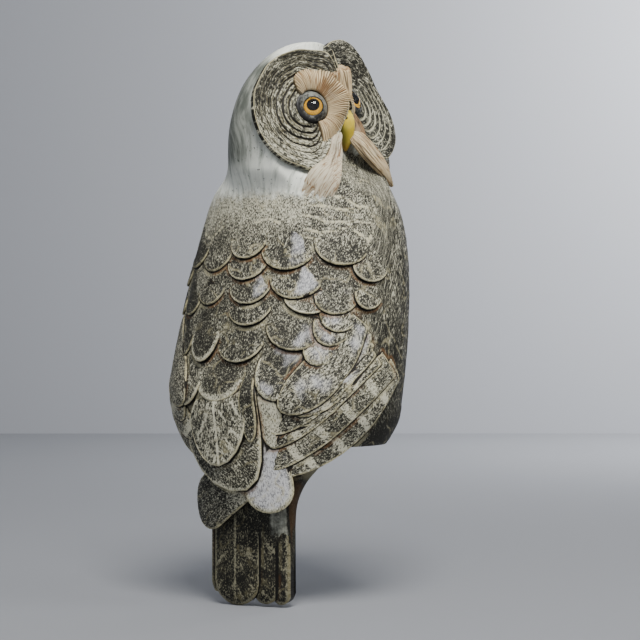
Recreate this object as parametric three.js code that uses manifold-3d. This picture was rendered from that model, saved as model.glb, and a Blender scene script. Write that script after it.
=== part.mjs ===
// Stoneware owl that sits on the edge of a ledge, with its tail hanging over the edge and its head
// turned hard to its right. Millimetres, +Z up. The owl's body faces -Y, its tail is towards +Y and
// its left wing towards +X. The origin is on the flat seat, below the middle of the body.
import * as THREE from 'three';
import { mergeVertices } from 'three/addons/utils/BufferGeometryUtils.js';
import Module from 'manifold-3d';

// Driving dimensions of the body: one row for each level, from the seat up to the neck.
// Each row: height, half width, middle in depth, reach to the back, reach to the front.
const TRUNK = [
  [0, 84, -8, 74, 62],
  [4, 87, -8, 77, 66],
  [20, 95, -8, 81, 75],
  [44, 98, -7, 82, 82],
  [64, 98, -12, 81, 83],
  [97, 96.5, -19, 80, 83],
  [129, 94.5, -25.5, 79, 81],
  [162, 90, -32, 76, 77],
  [183, 85, -34.5, 73, 72],
  [199, 79, -34.5, 69.5, 66.5],
  [216, 69, -33, 62, 60],
  [235, 54, -31, 51, 51],
  [262, 30, -31, 30, 30],
];
// Rump and tail base below the seat: height, reach to the left and to the right, inner and outer face.
const RUMP = [
  [0, 56, 68, 19, 59],
  [-14, 45, 56, 27, 60],
  [-28, 38, 45, 34, 60],
  [-44, 35, 38.5, 38, 60],
  [-64, 34, 36.5, 39, 58],
  [-96, 34, 34.5, 39, 55],
  [-118, 32, 31, 40, 53],
];
// Surface that the wing tips lie on below the seat: height, half width, middle, reach to the back.
const WING_FALL = [
  [20, 95, -8, 81],
  [0, 84, -2, 74],
  [-20, 77, 2, 69],
  [-45, 71, 4, 65],
  [-75, 66, 4, 62],
];
const CROWN_Z = 330;            // top of the head
const CHEEK_Z = 240;            // level where the head stops widening downwards
const HEAD_HALF_DEPTH = 57;     // head from front to back, half
const HEAD_HALF_SIDE = 78;      // head from side to side, half
const HEAD_MIDDLE = new THREE.Vector2(-8.7, -30.7);
const NECK_CREASE = 7;          // softness of the crease between head and shoulders
const HEAD_TURN = 105;          // degrees that the face is turned to the owl's right
const FACE_PITCH = 18;          // degrees that the face leans back
const FACE_ROLL = 11;           // degrees that the near side of the face is lower
const DISC_SPREAD = 13;         // degrees that each disc is turned outward
const HEAD_AXIS_Y = -33;        // upright axis that the head turns about
const EYE_FORWARD = 36;         // eye in front of the head's axis
const EYE_SIDE = 25;            // eye beside the face's middle line
const EYE_LEVEL = 277.5;        // mean height of the two eyes
const EYE_RADIUS = 10;
const EYE_SIDES = 14;
const EYE_MIDDLE = { out: -1, up: -0.7, looks: -4.5 }; // middle of the glass from the disc's middle
const EYE_GAP = 0.35;           // room round each glass eye in its socket
const DISC_THICK = 5;           // face disc over the head behind it
const DISC_DISH = 5;            // how far the disc's rim stands in front of its middle
const GROOVE_DEPTH = 1.4;       // rings cut into the discs
const DISC_LOW = 3;             // middle of a disc below the level of the eye's rim
const DISC_ROOT = 8;            // how far a disc is sunk into the head
const EYE_FIELD = 0.26;         // plain middle of a disc round the eye, as a share of its radius
const NECK_Z = 195;             // lowest level that the head reaches down to
const NECK_FADE = 26;           // height over which the head's form comes in above that
const HEAD_AXIS_FROM = 200;     // levels between which the axis bends over to the head
const HEAD_AXIS_TO = 245;
const THROAT_NARROWING = 0.1;   // how much narrower the head gets below the cheeks
const THROAT_SWELL = 1.1;       // how fast the throat comes forward past a disc's rim
const CHIN = { forward: -9, up: -32, radius: 16, swell: 0.8 }; // hollow of the throat under the beak
const RIDGE_HEIGHT = 9;         // how far the discs rise to the ridge between them
const RIDGE_INWARD = [11, 27];  // inward of the eye, where that rise starts and ends
const RIDGE_UP = [-28, -4];     // above the eye, where that rise starts and is full
const RUMP_SQUARENESS = 0.62;   // below 1 the rump's section is squarer than an ellipse
const LEDGE_EDGE_Y = 17.5;      // edge of the ledge that the owl sits on
const TAIL_TOP = -24;           // level where the tail feathers leave the rump
const FEATHER_LIFT = [-0.5, 4.4]; // a plain feather's root and tip over the skin
const FEATHER_CROWN = 0.7;      // how much a feather's middle stands over its sides
const LEAST_TIP = 0.13;         // width left at a feather's tip, as a share of its width
const BODY_SIDES = 28;
const BODY_LEVELS = [0, 4, 14, 30, 52, 78, 104, 130, 154, 174, 190, 202, 211, 220, 231];
const CROWN_STEPS = 7;
const BACK_MIDDLE = Math.PI / 2;

// Outlines of the face discs round the eyes: angle upwards from outward, radius.
const RIGHT_DISC_RIM = [
  [-92, 33], [-80, 41], [-72, 50], [-62, 56], [-50, 58], [-38, 61], [-25, 63], [-10, 63.5], [5, 62],
  [15, 60], [28, 57], [43, 54], [63, 51.5], [83, 49.5], [104, 49.5], [122, 46], [130, 41], [140, 35],
  [150, 31], [165, 28], [180, 27], [225, 28], [254, 31],
];
const LEFT_DISC_RIM = [
  [-90, 40], [-76, 54], [-52, 60], [-30, 64], [-14, 62], [0, 56], [14, 53], [28, 56], [44, 61], [60, 61],
  [86, 54], [110, 50], [125, 45], [140, 36], [150, 32], [165, 29], [180, 28], [225, 29], [256, 34],
];
// Grooves of a disc, as shares of the way from the eye to the rim.
const DISC_GROOVES = [0.4, 0.54, 0.69, 0.85];

const GLAZED_CLAY = new THREE.MeshStandardMaterial({ color: 0x9a9684, roughness: 0.55, metalness: 0 });
const EYE_GLASS = new THREE.MeshStandardMaterial({ color: 0xd08a1c, roughness: 0.05, metalness: 0 });

const radians = THREE.MathUtils.degToRad;

// Smooth value of one column of a table at a level between its rows.
function valueAt(table, level, column) {
  const rows = table[0][0] < table[table.length - 1][0] ? table : [...table].reverse();
  if (level <= rows[0][0]) return rows[0][column];
  const last = rows.length - 1;
  if (level >= rows[last][0]) return rows[last][column];
  let i = 0;
  while (level > rows[i + 1][0]) i += 1;
  const slope = (k) => {
    const low = rows[Math.max(0, k - 1)];
    const high = rows[Math.min(last, k + 1)];
    return (high[column] - low[column]) / (high[0] - low[0]);
  };
  const span = rows[i + 1][0] - rows[i][0];
  const t = (level - rows[i][0]) / span;
  const t2 = t * t;
  const t3 = t2 * t;
  return (2 * t3 - 3 * t2 + 1) * rows[i][column] + (t3 - 2 * t2 + t) * span * slope(i)
    + (3 * t2 - 2 * t3) * rows[i + 1][column] + (t3 - t2) * span * slope(i + 1);
}

// Head directions: forward out of the face, sideways to the near disc, and up.
function headFrame() {
  const facing = radians(-90 - HEAD_TURN);
  const level = new THREE.Vector3(Math.cos(facing), Math.sin(facing), 0);
  const side = new THREE.Vector3(-level.y, level.x, 0).negate();
  const forward = level.clone().multiplyScalar(Math.cos(radians(FACE_PITCH)));
  forward.z = Math.sin(radians(FACE_PITCH));
  const up = new THREE.Vector3().crossVectors(forward, side).normalize();
  if (up.z < 0) up.negate();
  const roll = radians(FACE_ROLL);
  const rolledSide = side.clone().multiplyScalar(Math.cos(roll)).addScaledVector(up, -Math.sin(roll));
  const rolledUp = up.clone().multiplyScalar(Math.cos(roll)).addScaledVector(side, Math.sin(roll));
  return { level, side, forward, nearSide: rolledSide, up: rolledUp };
}
const HEAD = headFrame();

// Point given in the head's own directions from the middle between the eyes.
function facePoint(forward, side, up) {
  return new THREE.Vector3(0, HEAD_AXIS_Y, EYE_LEVEL)
    .addScaledVector(HEAD.level, EYE_FORWARD)
    .addScaledVector(HEAD.forward, forward)
    .addScaledVector(HEAD.nearSide, side)
    .addScaledVector(HEAD.up, up);
}

// Frame of one face disc: its eye, outward direction, up and the direction it looks.
// which is 1 for the near disc on the owl's right and -1 for the far one on its left.
function discFrame(which) {
  const spread = radians(DISC_SPREAD);
  const looks = HEAD.forward.clone().multiplyScalar(Math.cos(spread))
    .addScaledVector(HEAD.nearSide, which * Math.sin(spread));
  const outward = HEAD.nearSide.clone().multiplyScalar(which * Math.cos(spread))
    .addScaledVector(HEAD.forward, -Math.sin(spread));
  const eye = facePoint(0, which * EYE_SIDE, 0);
  return { eye, outward, up: HEAD.up, looks, which };
}
const DISCS = [discFrame(1), discFrame(-1)];

// Upright axis of the body, which bends over to the middle of the head.
function axisPoint(z) {
  const headShare = THREE.MathUtils.smoothstep(z, HEAD_AXIS_FROM, HEAD_AXIS_TO);
  return new THREE.Vector2(
    HEAD_MIDDLE.x * headShare,
    THREE.MathUtils.lerp(valueAt(TRUNK, z, 2), HEAD_MIDDLE.y, headShare),
  );
}

function trunkRadius(angle, z) {
  if (z > TRUNK[TRUNK.length - 1][0]) return 0;
  const reach = valueAt(TRUNK, z, Math.sin(angle) > 0 ? 3 : 4);
  return 1 / Math.hypot(Math.cos(angle) / valueAt(TRUNK, z, 1), Math.sin(angle) / reach);
}

// Head in plan: an ellipse across the way it faces, cut flat behind each face disc.
function headRadius(angle, z) {
  if (z < NECK_Z || z >= CROWN_Z) return 0;
  const above = Math.max(0, z - CHEEK_Z) / (CROWN_Z - CHEEK_Z);
  const below = THREE.MathUtils.smoothstep(CHEEK_Z - z, 5, 60);
  const scale = Math.sqrt(1 - above * above) * (1 - THROAT_NARROWING * below);
  const axis = axisPoint(z);
  const offset = new THREE.Vector2(axis.x - HEAD_MIDDLE.x, axis.y - HEAD_MIDDLE.y);
  const dir = new THREE.Vector2(Math.cos(angle), Math.sin(angle));
  const flat = (v, along) => v.x * along.x + v.y * along.y;
  const depth = HEAD_HALF_DEPTH * scale;
  const breadth = HEAD_HALF_SIDE * scale;
  const oF = flat(offset, HEAD.level) / depth;
  const oS = flat(offset, HEAD.side) / breadth;
  const dF = flat(dir, HEAD.level) / depth;
  const dS = flat(dir, HEAD.side) / breadth;
  const a = dF * dF + dS * dS;
  const b = oF * dF + oS * dS;
  const c = oF * oF + oS * oS - 1;
  let radius = (-b + Math.sqrt(Math.max(0, b * b - a * c))) / a;
  for (const disc of DISCS) {
    const facing = dir.x * disc.looks.x + dir.y * disc.looks.y;
    if (facing <= 0.05) continue;
    const behind = disc.eye.clone().addScaledVector(disc.looks, -DISC_THICK);
    const reach = behind.sub(new THREE.Vector3(axis.x, axis.y, z)).dot(disc.looks) / facing;
    radius = Math.min(radius, Math.max(reach, 1));
  }
  return radius;
}

// Outline radius of a face disc at an angle, smooth between its rows and closed on itself.
function discRadius(disc, degrees) {
  const rim = disc.which > 0 ? RIGHT_DISC_RIM : LEFT_DISC_RIM;
  const first = rim[0][0];
  let angle = degrees;
  while (angle < first) angle += 360;
  while (angle >= first + 360) angle -= 360;
  return valueAt([...rim, [first + 360, rim[0][1]]], angle, 1);
}

// Point where a level line from the axis meets a plane, and how far along that line it is.
function meetPlane(angle, z, onPlane, normal) {
  const axis = axisPoint(z);
  const start = new THREE.Vector3(axis.x, axis.y, z);
  const dir = new THREE.Vector3(Math.cos(angle), Math.sin(angle), 0);
  const facing = dir.dot(normal);
  if (facing <= 0.05) return null;
  const reach = Math.max(1, onPlane.clone().sub(start).dot(normal) / facing);
  return { reach, place: start.addScaledVector(dir, reach) };
}

// How far the throat may reach at an angle and a level before it would cover a disc or the beak's tip.
function roomInThroat(angle, z) {
  let room = Infinity;
  for (const disc of DISCS) {
    const behind = disc.eye.clone().addScaledVector(disc.looks, -DISC_THICK);
    const met = meetPlane(angle, z, behind, disc.looks);
    if (!met) continue;
    const offset = met.place.sub(disc.eye);
    const out = offset.dot(disc.outward);
    const up = offset.dot(disc.up);
    const degrees = THREE.MathUtils.radToDeg(Math.atan2(up, out));
    const pastRim = Math.max(0, Math.hypot(out, up) - discRadius(disc, degrees));
    room = Math.min(room, met.reach + THROAT_SWELL * pastRim);
  }
  const chin = facePoint(CHIN.forward, 0, CHIN.up);
  const met = meetPlane(angle, z, chin, HEAD.forward);
  if (!met) return room;
  const pastChin = Math.max(0, met.place.distanceTo(chin) - CHIN.radius);
  return Math.min(room, met.reach + CHIN.swell * pastChin);
}

// Distance of the body's and head's surface from the upright axis, with a soft crease at the neck.
function bodyRadius(angle, z) {
  const trunk = trunkRadius(angle, z);
  const head = headRadius(angle, z);
  const comesIn = THREE.MathUtils.smoothstep(z, NECK_Z, NECK_Z + NECK_FADE);
  const blend = Math.max(0, NECK_CREASE * 2 - Math.abs(trunk - head)) * comesIn;
  const wider = trunk + Math.max(0, head - trunk) * (trunk > 0 ? comesIn : 1);
  const radius = wider + (blend * blend) / (8 * NECK_CREASE);
  return z > NECK_Z ? Math.min(radius, roomInThroat(angle, z)) : radius;
}

// Distance of the skin under the feathers from the axis. Below the body it falls towards the tail.
function skinRadius(angle, z) {
  if (z >= WING_FALL[0][0]) return bodyRadius(angle, z);
  const side = Math.cos(angle) / valueAt(WING_FALL, z, 1);
  const back = Math.sin(angle) / valueAt(WING_FALL, z, 3);
  return 1 / Math.hypot(side, back);
}

function skinAxis(z) {
  if (z < WING_FALL[0][0]) return new THREE.Vector2(0, valueAt(WING_FALL, z, 2));
  return axisPoint(z);
}

function skinPoint(angle, z) {
  const axis = skinAxis(z);
  const r = skinRadius(angle, z);
  return new THREE.Vector3(axis.x + r * Math.cos(angle), axis.y + r * Math.sin(angle), z);
}

// Point over the skin, side mm round from the middle of the back towards the owl's left.
function drape(side, z, lift) {
  const table = z < WING_FALL[0][0] ? WING_FALL : TRUNK;
  const around = (valueAt(table, z, 1) + valueAt(table, z, 3)) / 2;
  const angle = BACK_MIDDLE - side / around;
  const step = 0.02;
  const point = skinPoint(angle, z);
  const across = skinPoint(angle - step, z).sub(skinPoint(angle + step, z));
  const upward = skinPoint(angle, z + 1).sub(skinPoint(angle, z - 1));
  const normal = new THREE.Vector3().crossVectors(upward, across).normalize();
  const outward = new THREE.Vector3(Math.cos(angle), Math.sin(angle), 0);
  if (normal.dot(outward) < 0) normal.negate();
  return point.addScaledVector(normal, lift);
}

// A closed solid from a grid of rings. rings[i][j] are points; the ends are closed by fans.
function loftSolid(rings) {
  const count = rings[0].length;
  const positions = rings.flat();
  const index = [];
  for (let i = 0; i + 1 < rings.length; i += 1) {
    for (let j = 0; j < count; j += 1) {
      const k = (j + 1) % count;
      const a = i * count + j;
      const b = i * count + k;
      index.push(a, b, a + count, b, b + count, a + count);
    }
  }
  for (const [start, flip] of [[0, true], [(rings.length - 1) * count, false]]) {
    const middle = new THREE.Vector3();
    for (let j = 0; j < count; j += 1) middle.addScaledVector(positions[start + j], 1 / count);
    const centre = positions.push(middle) - 1;
    for (let j = 0; j < count; j += 1) {
      const a = start + j;
      const b = start + ((j + 1) % count);
      index.push(...(flip ? [b, a, centre] : [a, b, centre]));
    }
  }
  const geometry = new THREE.BufferGeometry().setFromPoints(positions);
  geometry.setIndex(index);
  return geometry;
}

const wasm = await Module();
wasm.setup();

// Turns a closed geometry into a solid whose faces point out.
function solidOf(geometry) {
  const bare = new THREE.BufferGeometry();
  bare.setAttribute('position', geometry.getAttribute('position').clone());
  if (geometry.index) bare.setIndex(geometry.index.clone());
  const merged = mergeVertices(bare, 1e-4);
  const vertices = merged.getAttribute('position').array;
  const corners = Array.from(merged.index.array);
  const kept = [];
  let volume = 0;
  const at = (i) => new THREE.Vector3().fromArray(vertices, 3 * i);
  for (let t = 0; t < corners.length; t += 3) {
    const [a, b, c] = corners.slice(t, t + 3);
    if (a === b || b === c || a === c) continue;
    kept.push(a, b, c);
    volume += at(a).dot(at(b).cross(at(c)));
  }
  if (volume < 0) {
    for (let t = 0; t < kept.length; t += 3) [kept[t], kept[t + 1]] = [kept[t + 1], kept[t]];
  }
  return new wasm.Manifold(new wasm.Mesh({
    numProp: 3,
    vertProperties: new Float32Array(vertices),
    triVerts: new Uint32Array(kept),
  }));
}

// The outer surface of a solid. Small hollows that overlapping feathers close between them are filled.
function geometryOf(solid) {
  const mesh = solid.getMesh();
  const corners = mesh.triVerts;
  const shellOf = Array.from({ length: mesh.vertProperties.length / 3 }, (_, i) => i);
  const find = (i) => {
    let k = i;
    while (shellOf[k] !== k) k = shellOf[k];
    shellOf[i] = k;
    return k;
  };
  for (let t = 0; t < corners.length; t += 3) {
    shellOf[find(corners[t + 1])] = find(corners[t]);
    shellOf[find(corners[t + 2])] = find(corners[t]);
  }
  const at = (i) => new THREE.Vector3().fromArray(mesh.vertProperties, 3 * i);
  const volumes = new Map();
  for (let t = 0; t < corners.length; t += 3) {
    const shell = find(corners[t]);
    const wedge = at(corners[t]).dot(at(corners[t + 1]).cross(at(corners[t + 2])));
    volumes.set(shell, (volumes.get(shell) ?? 0) + wedge);
  }
  const largest = [...volumes].reduce((a, b) => (b[1] > a[1] ? b : a))[0];
  const kept = [];
  for (let t = 0; t < corners.length; t += 3) {
    if (find(corners[t]) === largest) kept.push(...corners.slice(t, t + 3));
  }
  const geometry = new THREE.BufferGeometry();
  geometry.setAttribute('position', new THREE.BufferAttribute(mesh.vertProperties, 3));
  geometry.setIndex(kept);
  geometry.computeVertexNormals();
  return geometry;
}

function ring(count, pointAt) {
  return Array.from({ length: count }, (_, j) => pointAt((j * 2 * Math.PI) / count));
}

// Body and head in one piece, with the flat seat and the rump and tail base below it.
function makeBody() {
  const rings = [];
  for (const [z, left, right, inner, outer] of [...RUMP].reverse()) {
    rings.push(ring(BODY_SIDES, (angle) => {
      const c = Math.cos(angle);
      const s = Math.sin(angle);
      return new THREE.Vector3(
        Math.sign(c) * (c > 0 ? left : right) * Math.abs(c) ** RUMP_SQUARENESS,
        (inner + outer) / 2 + ((outer - inner) / 2) * Math.sign(s) * Math.abs(s) ** RUMP_SQUARENESS,
        z,
      );
    }));
  }
  const levels = [...BODY_LEVELS];
  const domeBase = CHEEK_Z - 8;
  const top = CROWN_Z - 0.2;
  for (let i = 0; i < CROWN_STEPS; i += 1) {
    const turn = (Math.PI / 2) * ((i + 0.6) / CROWN_STEPS) ** 0.9;
    levels.push(Math.min(top, domeBase + (CROWN_Z - domeBase) * Math.sin(turn)));
  }
  for (const z of levels) {
    const axis = axisPoint(z);
    rings.push(ring(BODY_SIDES, (angle) => {
      const r = bodyRadius(angle, z);
      return new THREE.Vector3(axis.x + r * Math.cos(angle), axis.y + r * Math.sin(angle), z);
    }));
  }
  return solidOf(loftSolid(rings));
}

// One carved feather lying on the skin. root and tip: side and height. rise: lift of the root and of
// the tip over the skin. tilt lifts one long edge. wide: where the tip starts, as a share of the length.
function makeFeather({
  root, tip, width, bow = 0, rise = [0, 4], tilt = 0, depth = 3,
  point = 2, wide = 0.55, base = 0.5, along = 5,
}) {
  const across = 2;
  const run = new THREE.Vector2(tip[0] - root[0], tip[1] - root[1]);
  const length = run.length();
  const ahead = run.clone().divideScalar(length);
  const beside = new THREE.Vector2(-ahead.y, ahead.x);
  const rings = [];
  for (let i = 0; i <= along; i += 1) {
    const s = Math.sin((i / along) * (Math.PI / 2)) ** 0.9;
    const end = Math.max(0, (s - wide) / (1 - wide));
    const narrow = s < wide ? base + (1 - base) * Math.sin((s / wide) * (Math.PI / 2)) : 1;
    const half = (width / 2) * narrow * Math.max(LEAST_TIP, Math.sqrt(Math.max(0, 1 - end ** point)));
    const curve = bow * 4 * s * (1 - s);
    const centre = new THREE.Vector2(root[0], root[1])
      .addScaledVector(ahead, length * s)
      .addScaledVector(beside, curve);
    const lift = THREE.MathUtils.lerp(rise[0], rise[1], s);
    const edge = (q, height, inset) => {
      const reach = Math.max(0.4, half - inset) * q;
      return drape(centre.x + beside.x * reach, centre.y + beside.y * reach, height);
    };
    const section = [];
    for (let j = 0; j <= across; j += 1) {
      const q = (2 * j) / across - 1;
      section.push(edge(q, lift + tilt * q - FEATHER_CROWN * q * q, 0));
    }
    const undercut = 0.8;
    for (const q of [1, -1]) section.push(edge(q, -depth, undercut));
    rings.push(section);
  }
  return solidOf(loftSolid(rings));
}

// Feathers of the back: side and height of the tip, width, length, lean of the root to the side.
const MANTLE = [
  [9, 148, 38, 40, 0],
  [-27, 139, 48, 44, -6],
  [-71, 143, 46, 40, -8],
  [-98, 130, 34, 36, -8],
  [7, 131, 42, 40, 0],
  [-39, 116, 46, 42, -4],
  [-72, 104, 38, 40, -8],
  [-99, 108, 26, 34, -8],
  [1, 112, 42, 40, 0],
  [-48, 105, 40, 30, -8],
  [-2, 95, 44, 40, 2],
  [-74, 91, 34, 38, -14],
  [-41, 76, 50, 44, -8],
  [-69, 80, 34, 44, -18],
  [3, 66, 48, 44, 2],
  [44, 66, 38, 62, 4],
  [-61, 65, 36, 54, -28],
  [-27, 39, 46, 60, -30],
  [18, 36, 52, 42, 4],
  [59, 32, 40, 50, 6],
];
// Feathers of the side of the back that are cut alike on the left, mirrored.
const LEFT_SIDE = [
  [42, 139, 42, 42, 6], [74, 143, 42, 40, 8], [98, 128, 34, 38, 8],
  [44, 112, 40, 42, 4], [72, 104, 38, 42, 8], [100, 104, 28, 40, 8], [76, 70, 36, 50, 10],
];
// Long feathers of the right wing, root to tip, from the back down to its lower edge.
const RIGHT_WING = [
  { root: [-96, 100], tip: [-40, 29], width: 36, bow: -6, rise: [1.5, 4.4], tilt: -1.2 },
  { root: [-102, 92], tip: [-50, 27], width: 28, bow: -8, rise: [1.5, 3.6], tilt: -1.2 },
  { root: [-105, 84], tip: [-48, 19], width: 26, bow: -7, rise: [1.5, 3], tilt: -1.4, depth: 4 },
  { root: [-108, 77], tip: [-30, 12], width: 20, bow: -4, rise: [2, 3], tilt: -1.5, depth: 5, base: 0.7 },
  { root: [-113, 71], tip: [-28, 1], width: 20, bow: -2, rise: [2, 3], tilt: -1.5, depth: 6, base: 0.8 },
  { root: [-127, 65], tip: [-24, -16], width: 28, rise: [2.4, 3.4], tilt: -1.6, depth: 8, base: 0.9 },
  { root: [-136, 61], tip: [-30, -20], width: 30, bow: -6, rise: [2, 3], tilt: -1.6, depth: 9, base: 0.7 },
  { root: [-46, 11], tip: [54, -58], width: 44, rise: [-2, 1.5], depth: 8, base: 0.8, wide: 0.8 },
];
// Long feathers of the left wing: its lower edge, then its tips that lie crossed over the tail.
const LEFT_WING = [
  { root: [102, 100], tip: [62, 32], width: 36, bow: 6, rise: [1.5, 4.4], tilt: 1.2 },
  { root: [106, 90], tip: [64, 20], width: 30, bow: 6, rise: [1.5, 3.4], tilt: 1.2, depth: 4 },
  { root: [114, 78], tip: [50, 6], width: 26, bow: 5, rise: [1.8, 3], tilt: 1.4, depth: 6, base: 0.8 },
  { root: [134, 66], tip: [32, -8], width: 26, bow: 4, rise: [2, 2.4], tilt: 1.2, depth: 9, base: 0.8 },
  { root: [-22, 40], tip: [-27, -50], width: 40, rise: [0, 6.5], depth: 5, base: 0.5, wide: 0.78 },
  {
    root: [27, 52], tip: [-10, -32], width: 86, bow: 6, rise: [2, 8], depth: 8, base: 0.9,
    point: 1.3, wide: 0.3,
  },
  {
    root: [24, 54], tip: [12, -14], width: 60, rise: [4, 11.4], depth: 4, base: 0.7, point: 1.5, wide: 0.42,
  },
];

function plainFeather([side, height, width, length, lean]) {
  return makeFeather({
    root: [side + lean, height + length], tip: [side, height], width, rise: FEATHER_LIFT, along: 4,
  });
}

// A tail feather: a long plate with a round end on the outer face of the tail.
function makeTailFeather([middle, width, bottom, outer, depth]) {
  const along = 6;
  const sides = 8;
  const flatness = 0.6;
  const rings = [];
  for (let i = 0; i <= along; i += 1) {
    const s = 1 - (1 - i / along) ** 1.8;
    const z = THREE.MathUtils.lerp(TAIL_TOP, bottom, s);
    const round = (width / 2) / (TAIL_TOP - bottom);
    const end = Math.max(0, (s - (1 - round)) / round);
    const half = (width / 2) * Math.max(0.2, Math.sqrt(Math.max(0, 1 - end * end)));
    rings.push(ring(sides, (angle) => new THREE.Vector3(
      middle + half * Math.cos(angle),
      outer - depth / 2 + (depth / 2) * Math.sign(Math.sin(angle)) * Math.abs(Math.sin(angle)) ** flatness,
      z,
    )));
  }
  return solidOf(loftSolid(rings));
}
// Tail feathers: middle, width, bottom height, outer face and thickness.
const TAIL = [
  [0, 70, -119, 53, 12],
  [10, 42, -126, 60, 12],
  [-14, 24, -124, 57.5, 12],
  [-27, 16, -124, 56, 14],
  [31, 10, -117, 56, 12],
];

// How far a disc and its fan rise towards the ridge between the two discs.
function ridgeRise(turn, radius) {
  const inward = -radius * Math.cos(turn);
  const up = radius * Math.sin(turn);
  return RIDGE_HEIGHT * THREE.MathUtils.smoothstep(inward, ...RIDGE_INWARD)
    * THREE.MathUtils.smoothstep(up, ...RIDGE_UP);
}

// A face disc with its cut rings, dished towards the eye.
function makeDisc(disc) {
  const sides = 24;
  const fractions = [EYE_FIELD];
  for (const g of DISC_GROOVES) fractions.push(g - 0.05, g);
  fractions.push(1);
  const place = (turn, share, height, risen) => {
    const r = discRadius(disc, THREE.MathUtils.radToDeg(turn)) * share;
    return disc.eye.clone()
      .addScaledVector(disc.outward, r * Math.cos(turn))
      .addScaledVector(disc.up, r * Math.sin(turn))
      .addScaledVector(disc.looks, height + (risen ? ridgeRise(turn, r) : 0));
  };
  const rings = [];
  for (const [share, height] of [[EYE_FIELD, -DISC_THICK - DISC_ROOT], [1, -DISC_THICK + 0.5]]) {
    rings.push(ring(sides, (turn) => place(turn, share, height, false)));
  }
  for (const share of [...fractions].reverse()) {
    const cut = DISC_GROOVES.includes(share) ? GROOVE_DEPTH : 0;
    rings.push(ring(sides, (turn) => place(turn, share, DISC_DISH * share * share - DISC_LOW - cut, true)));
  }
  return solidOf(loftSolid(rings));
}

// A tapering body along a smooth curve through points, with a radius at each. A flat one faces one way.
function makeStrand(points, radii, flatness, facing, sides = 8, steps = 5) {
  const curve = new THREE.CatmullRomCurve3(points);
  const rings = [];
  for (let i = 0; i <= steps; i += 1) {
    const t = i / steps;
    const centre = curve.getPoint(t);
    const ahead = curve.getTangent(t);
    const across = new THREE.Vector3().crossVectors(ahead, facing).normalize();
    const out = new THREE.Vector3().crossVectors(across, ahead).normalize();
    const share = t * (radii.length - 1);
    const k = Math.min(radii.length - 2, Math.floor(share));
    const r = THREE.MathUtils.lerp(radii[k], radii[k + 1], share - k);
    rings.push(ring(sides, (turn) => centre.clone()
      .addScaledVector(across, r * Math.cos(turn))
      .addScaledVector(out, r * flatness * Math.sin(turn))));
  }
  return solidOf(loftSolid(rings));
}

// Fan of fine feathers over the eye and down the side of the beak: a raised band with radial ridges.
const FAN = {
  from: 57, to: 279, steps: 14, inner: 12.5, root: -6, crest: 1.6, ridge: 0.9,
};
// Outer edge of the fan: angle upwards from outward, radius.
const FAN_REACH = [
  [57, 19], [64, 26], [72, 29.5], [90, 31.5], [110, 32], [130, 31.5], [161, 30], [176, 29], [195, 27.5],
  [218, 27], [240, 27.5], [264, 29], [279, 30.5],
];
function makeFan(disc) {
  const rings = [];
  for (let i = 0; i <= FAN.steps; i += 1) {
    const degrees = THREE.MathUtils.lerp(FAN.from, FAN.to, i / FAN.steps);
    const turn = radians(degrees);
    const outer = valueAt(FAN_REACH, degrees, 1);
    const ridge = i % 2 === 0 ? FAN.ridge : 0;
    const at = (r, height) => disc.eye.clone()
      .addScaledVector(disc.outward, r * Math.cos(turn))
      .addScaledVector(disc.up, r * Math.sin(turn))
      .addScaledVector(disc.looks, height + (height > FAN.root ? ridgeRise(turn, r) : 0));
    rings.push([
      at(FAN.inner, FAN.root), at(FAN.inner, ridge - FAN.crest / 2),
      at((FAN.inner + outer) / 2, FAN.crest + ridge),
      at(outer, ridge), at(outer, FAN.root),
    ]);
  }
  return solidOf(loftSolid(rings));
}

// Parts on the face's middle: points forward, to the near side and up from between the eyes, and radii.
const TUFT = {
  points: [[18, -1, 24], [16.5, -1, 16], [14, -1, 7], [11, -1, -2], [8, 0, -12]],
  radii: [6, 7, 6.5, 5.5, 4.5],
  flatness: 0.7,
};
const BEAK = {
  points: [[2, 0, -6], [4.7, 0, -14.3], [2.9, 0, -21.1], [-0.8, 0, -29.3], [-7.5, 0, -39.5]],
  radii: [4.5, 6.8, 7.2, 5.4, 1.8],
  flatness: 1,
};
const RIGHT_MOUSTACHE = {
  points: [[3, 11, -24.3], [4, 21.5, -33], [1.6, 29, -45.4], [2.8, 48.4, -58.4], [-5, 60.5, -71]],
  radii: [4, 6, 7.5, 14, 14],
  flatness: 0.26,
  facing: [0.65, 0.76, -0.07],
};
const LEFT_MOUSTACHE = {
  points: [[3, -2, -28], [5, -8.5, -38], [5, -16, -50], [3, -26, -62.5], [-3, -37, -77]],
  radii: [7, 9.5, 9.5, 7.5, 2.5],
  flatness: 0.5,
};
const FACE_PARTS = [TUFT, BEAK, RIGHT_MOUSTACHE, LEFT_MOUSTACHE];
function makeFacePart({ points, radii, flatness, facing = [1, 0, 0] }) {
  const towards = facePoint(...facing).sub(facePoint(0, 0, 0));
  return makeStrand(points.map((place) => facePoint(...place)), radii, flatness, towards);
}

// Short feathered toes at the front of the seat.
const TOE = { half: [8.5, 20, 9], fan: 12, foot: 24.5, pitch: 14, front: -78, height: 8 };
function makeFeet() {
  const toes = [];
  for (const side of [-1, 1]) {
    for (const spread of [-1, 0, 1]) {
      const toe = new THREE.SphereGeometry(1, 8, 5);
      toe.scale(...TOE.half);
      toe.rotateZ(radians(-spread * TOE.fan));
      toe.translate(side * TOE.foot + spread * TOE.pitch, TOE.front, TOE.height);
      toes.push(solidOf(toe));
    }
  }
  return toes;
}

// Room that the ledge takes: everything below the seat and in front of the ledge's edge.
function ledgeRoom() {
  const room = 400;
  const block = new THREE.BoxGeometry(room, room, room);
  block.translate(0, LEDGE_EDGE_Y - room / 2, -room / 2);
  return solidOf(block);
}

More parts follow.
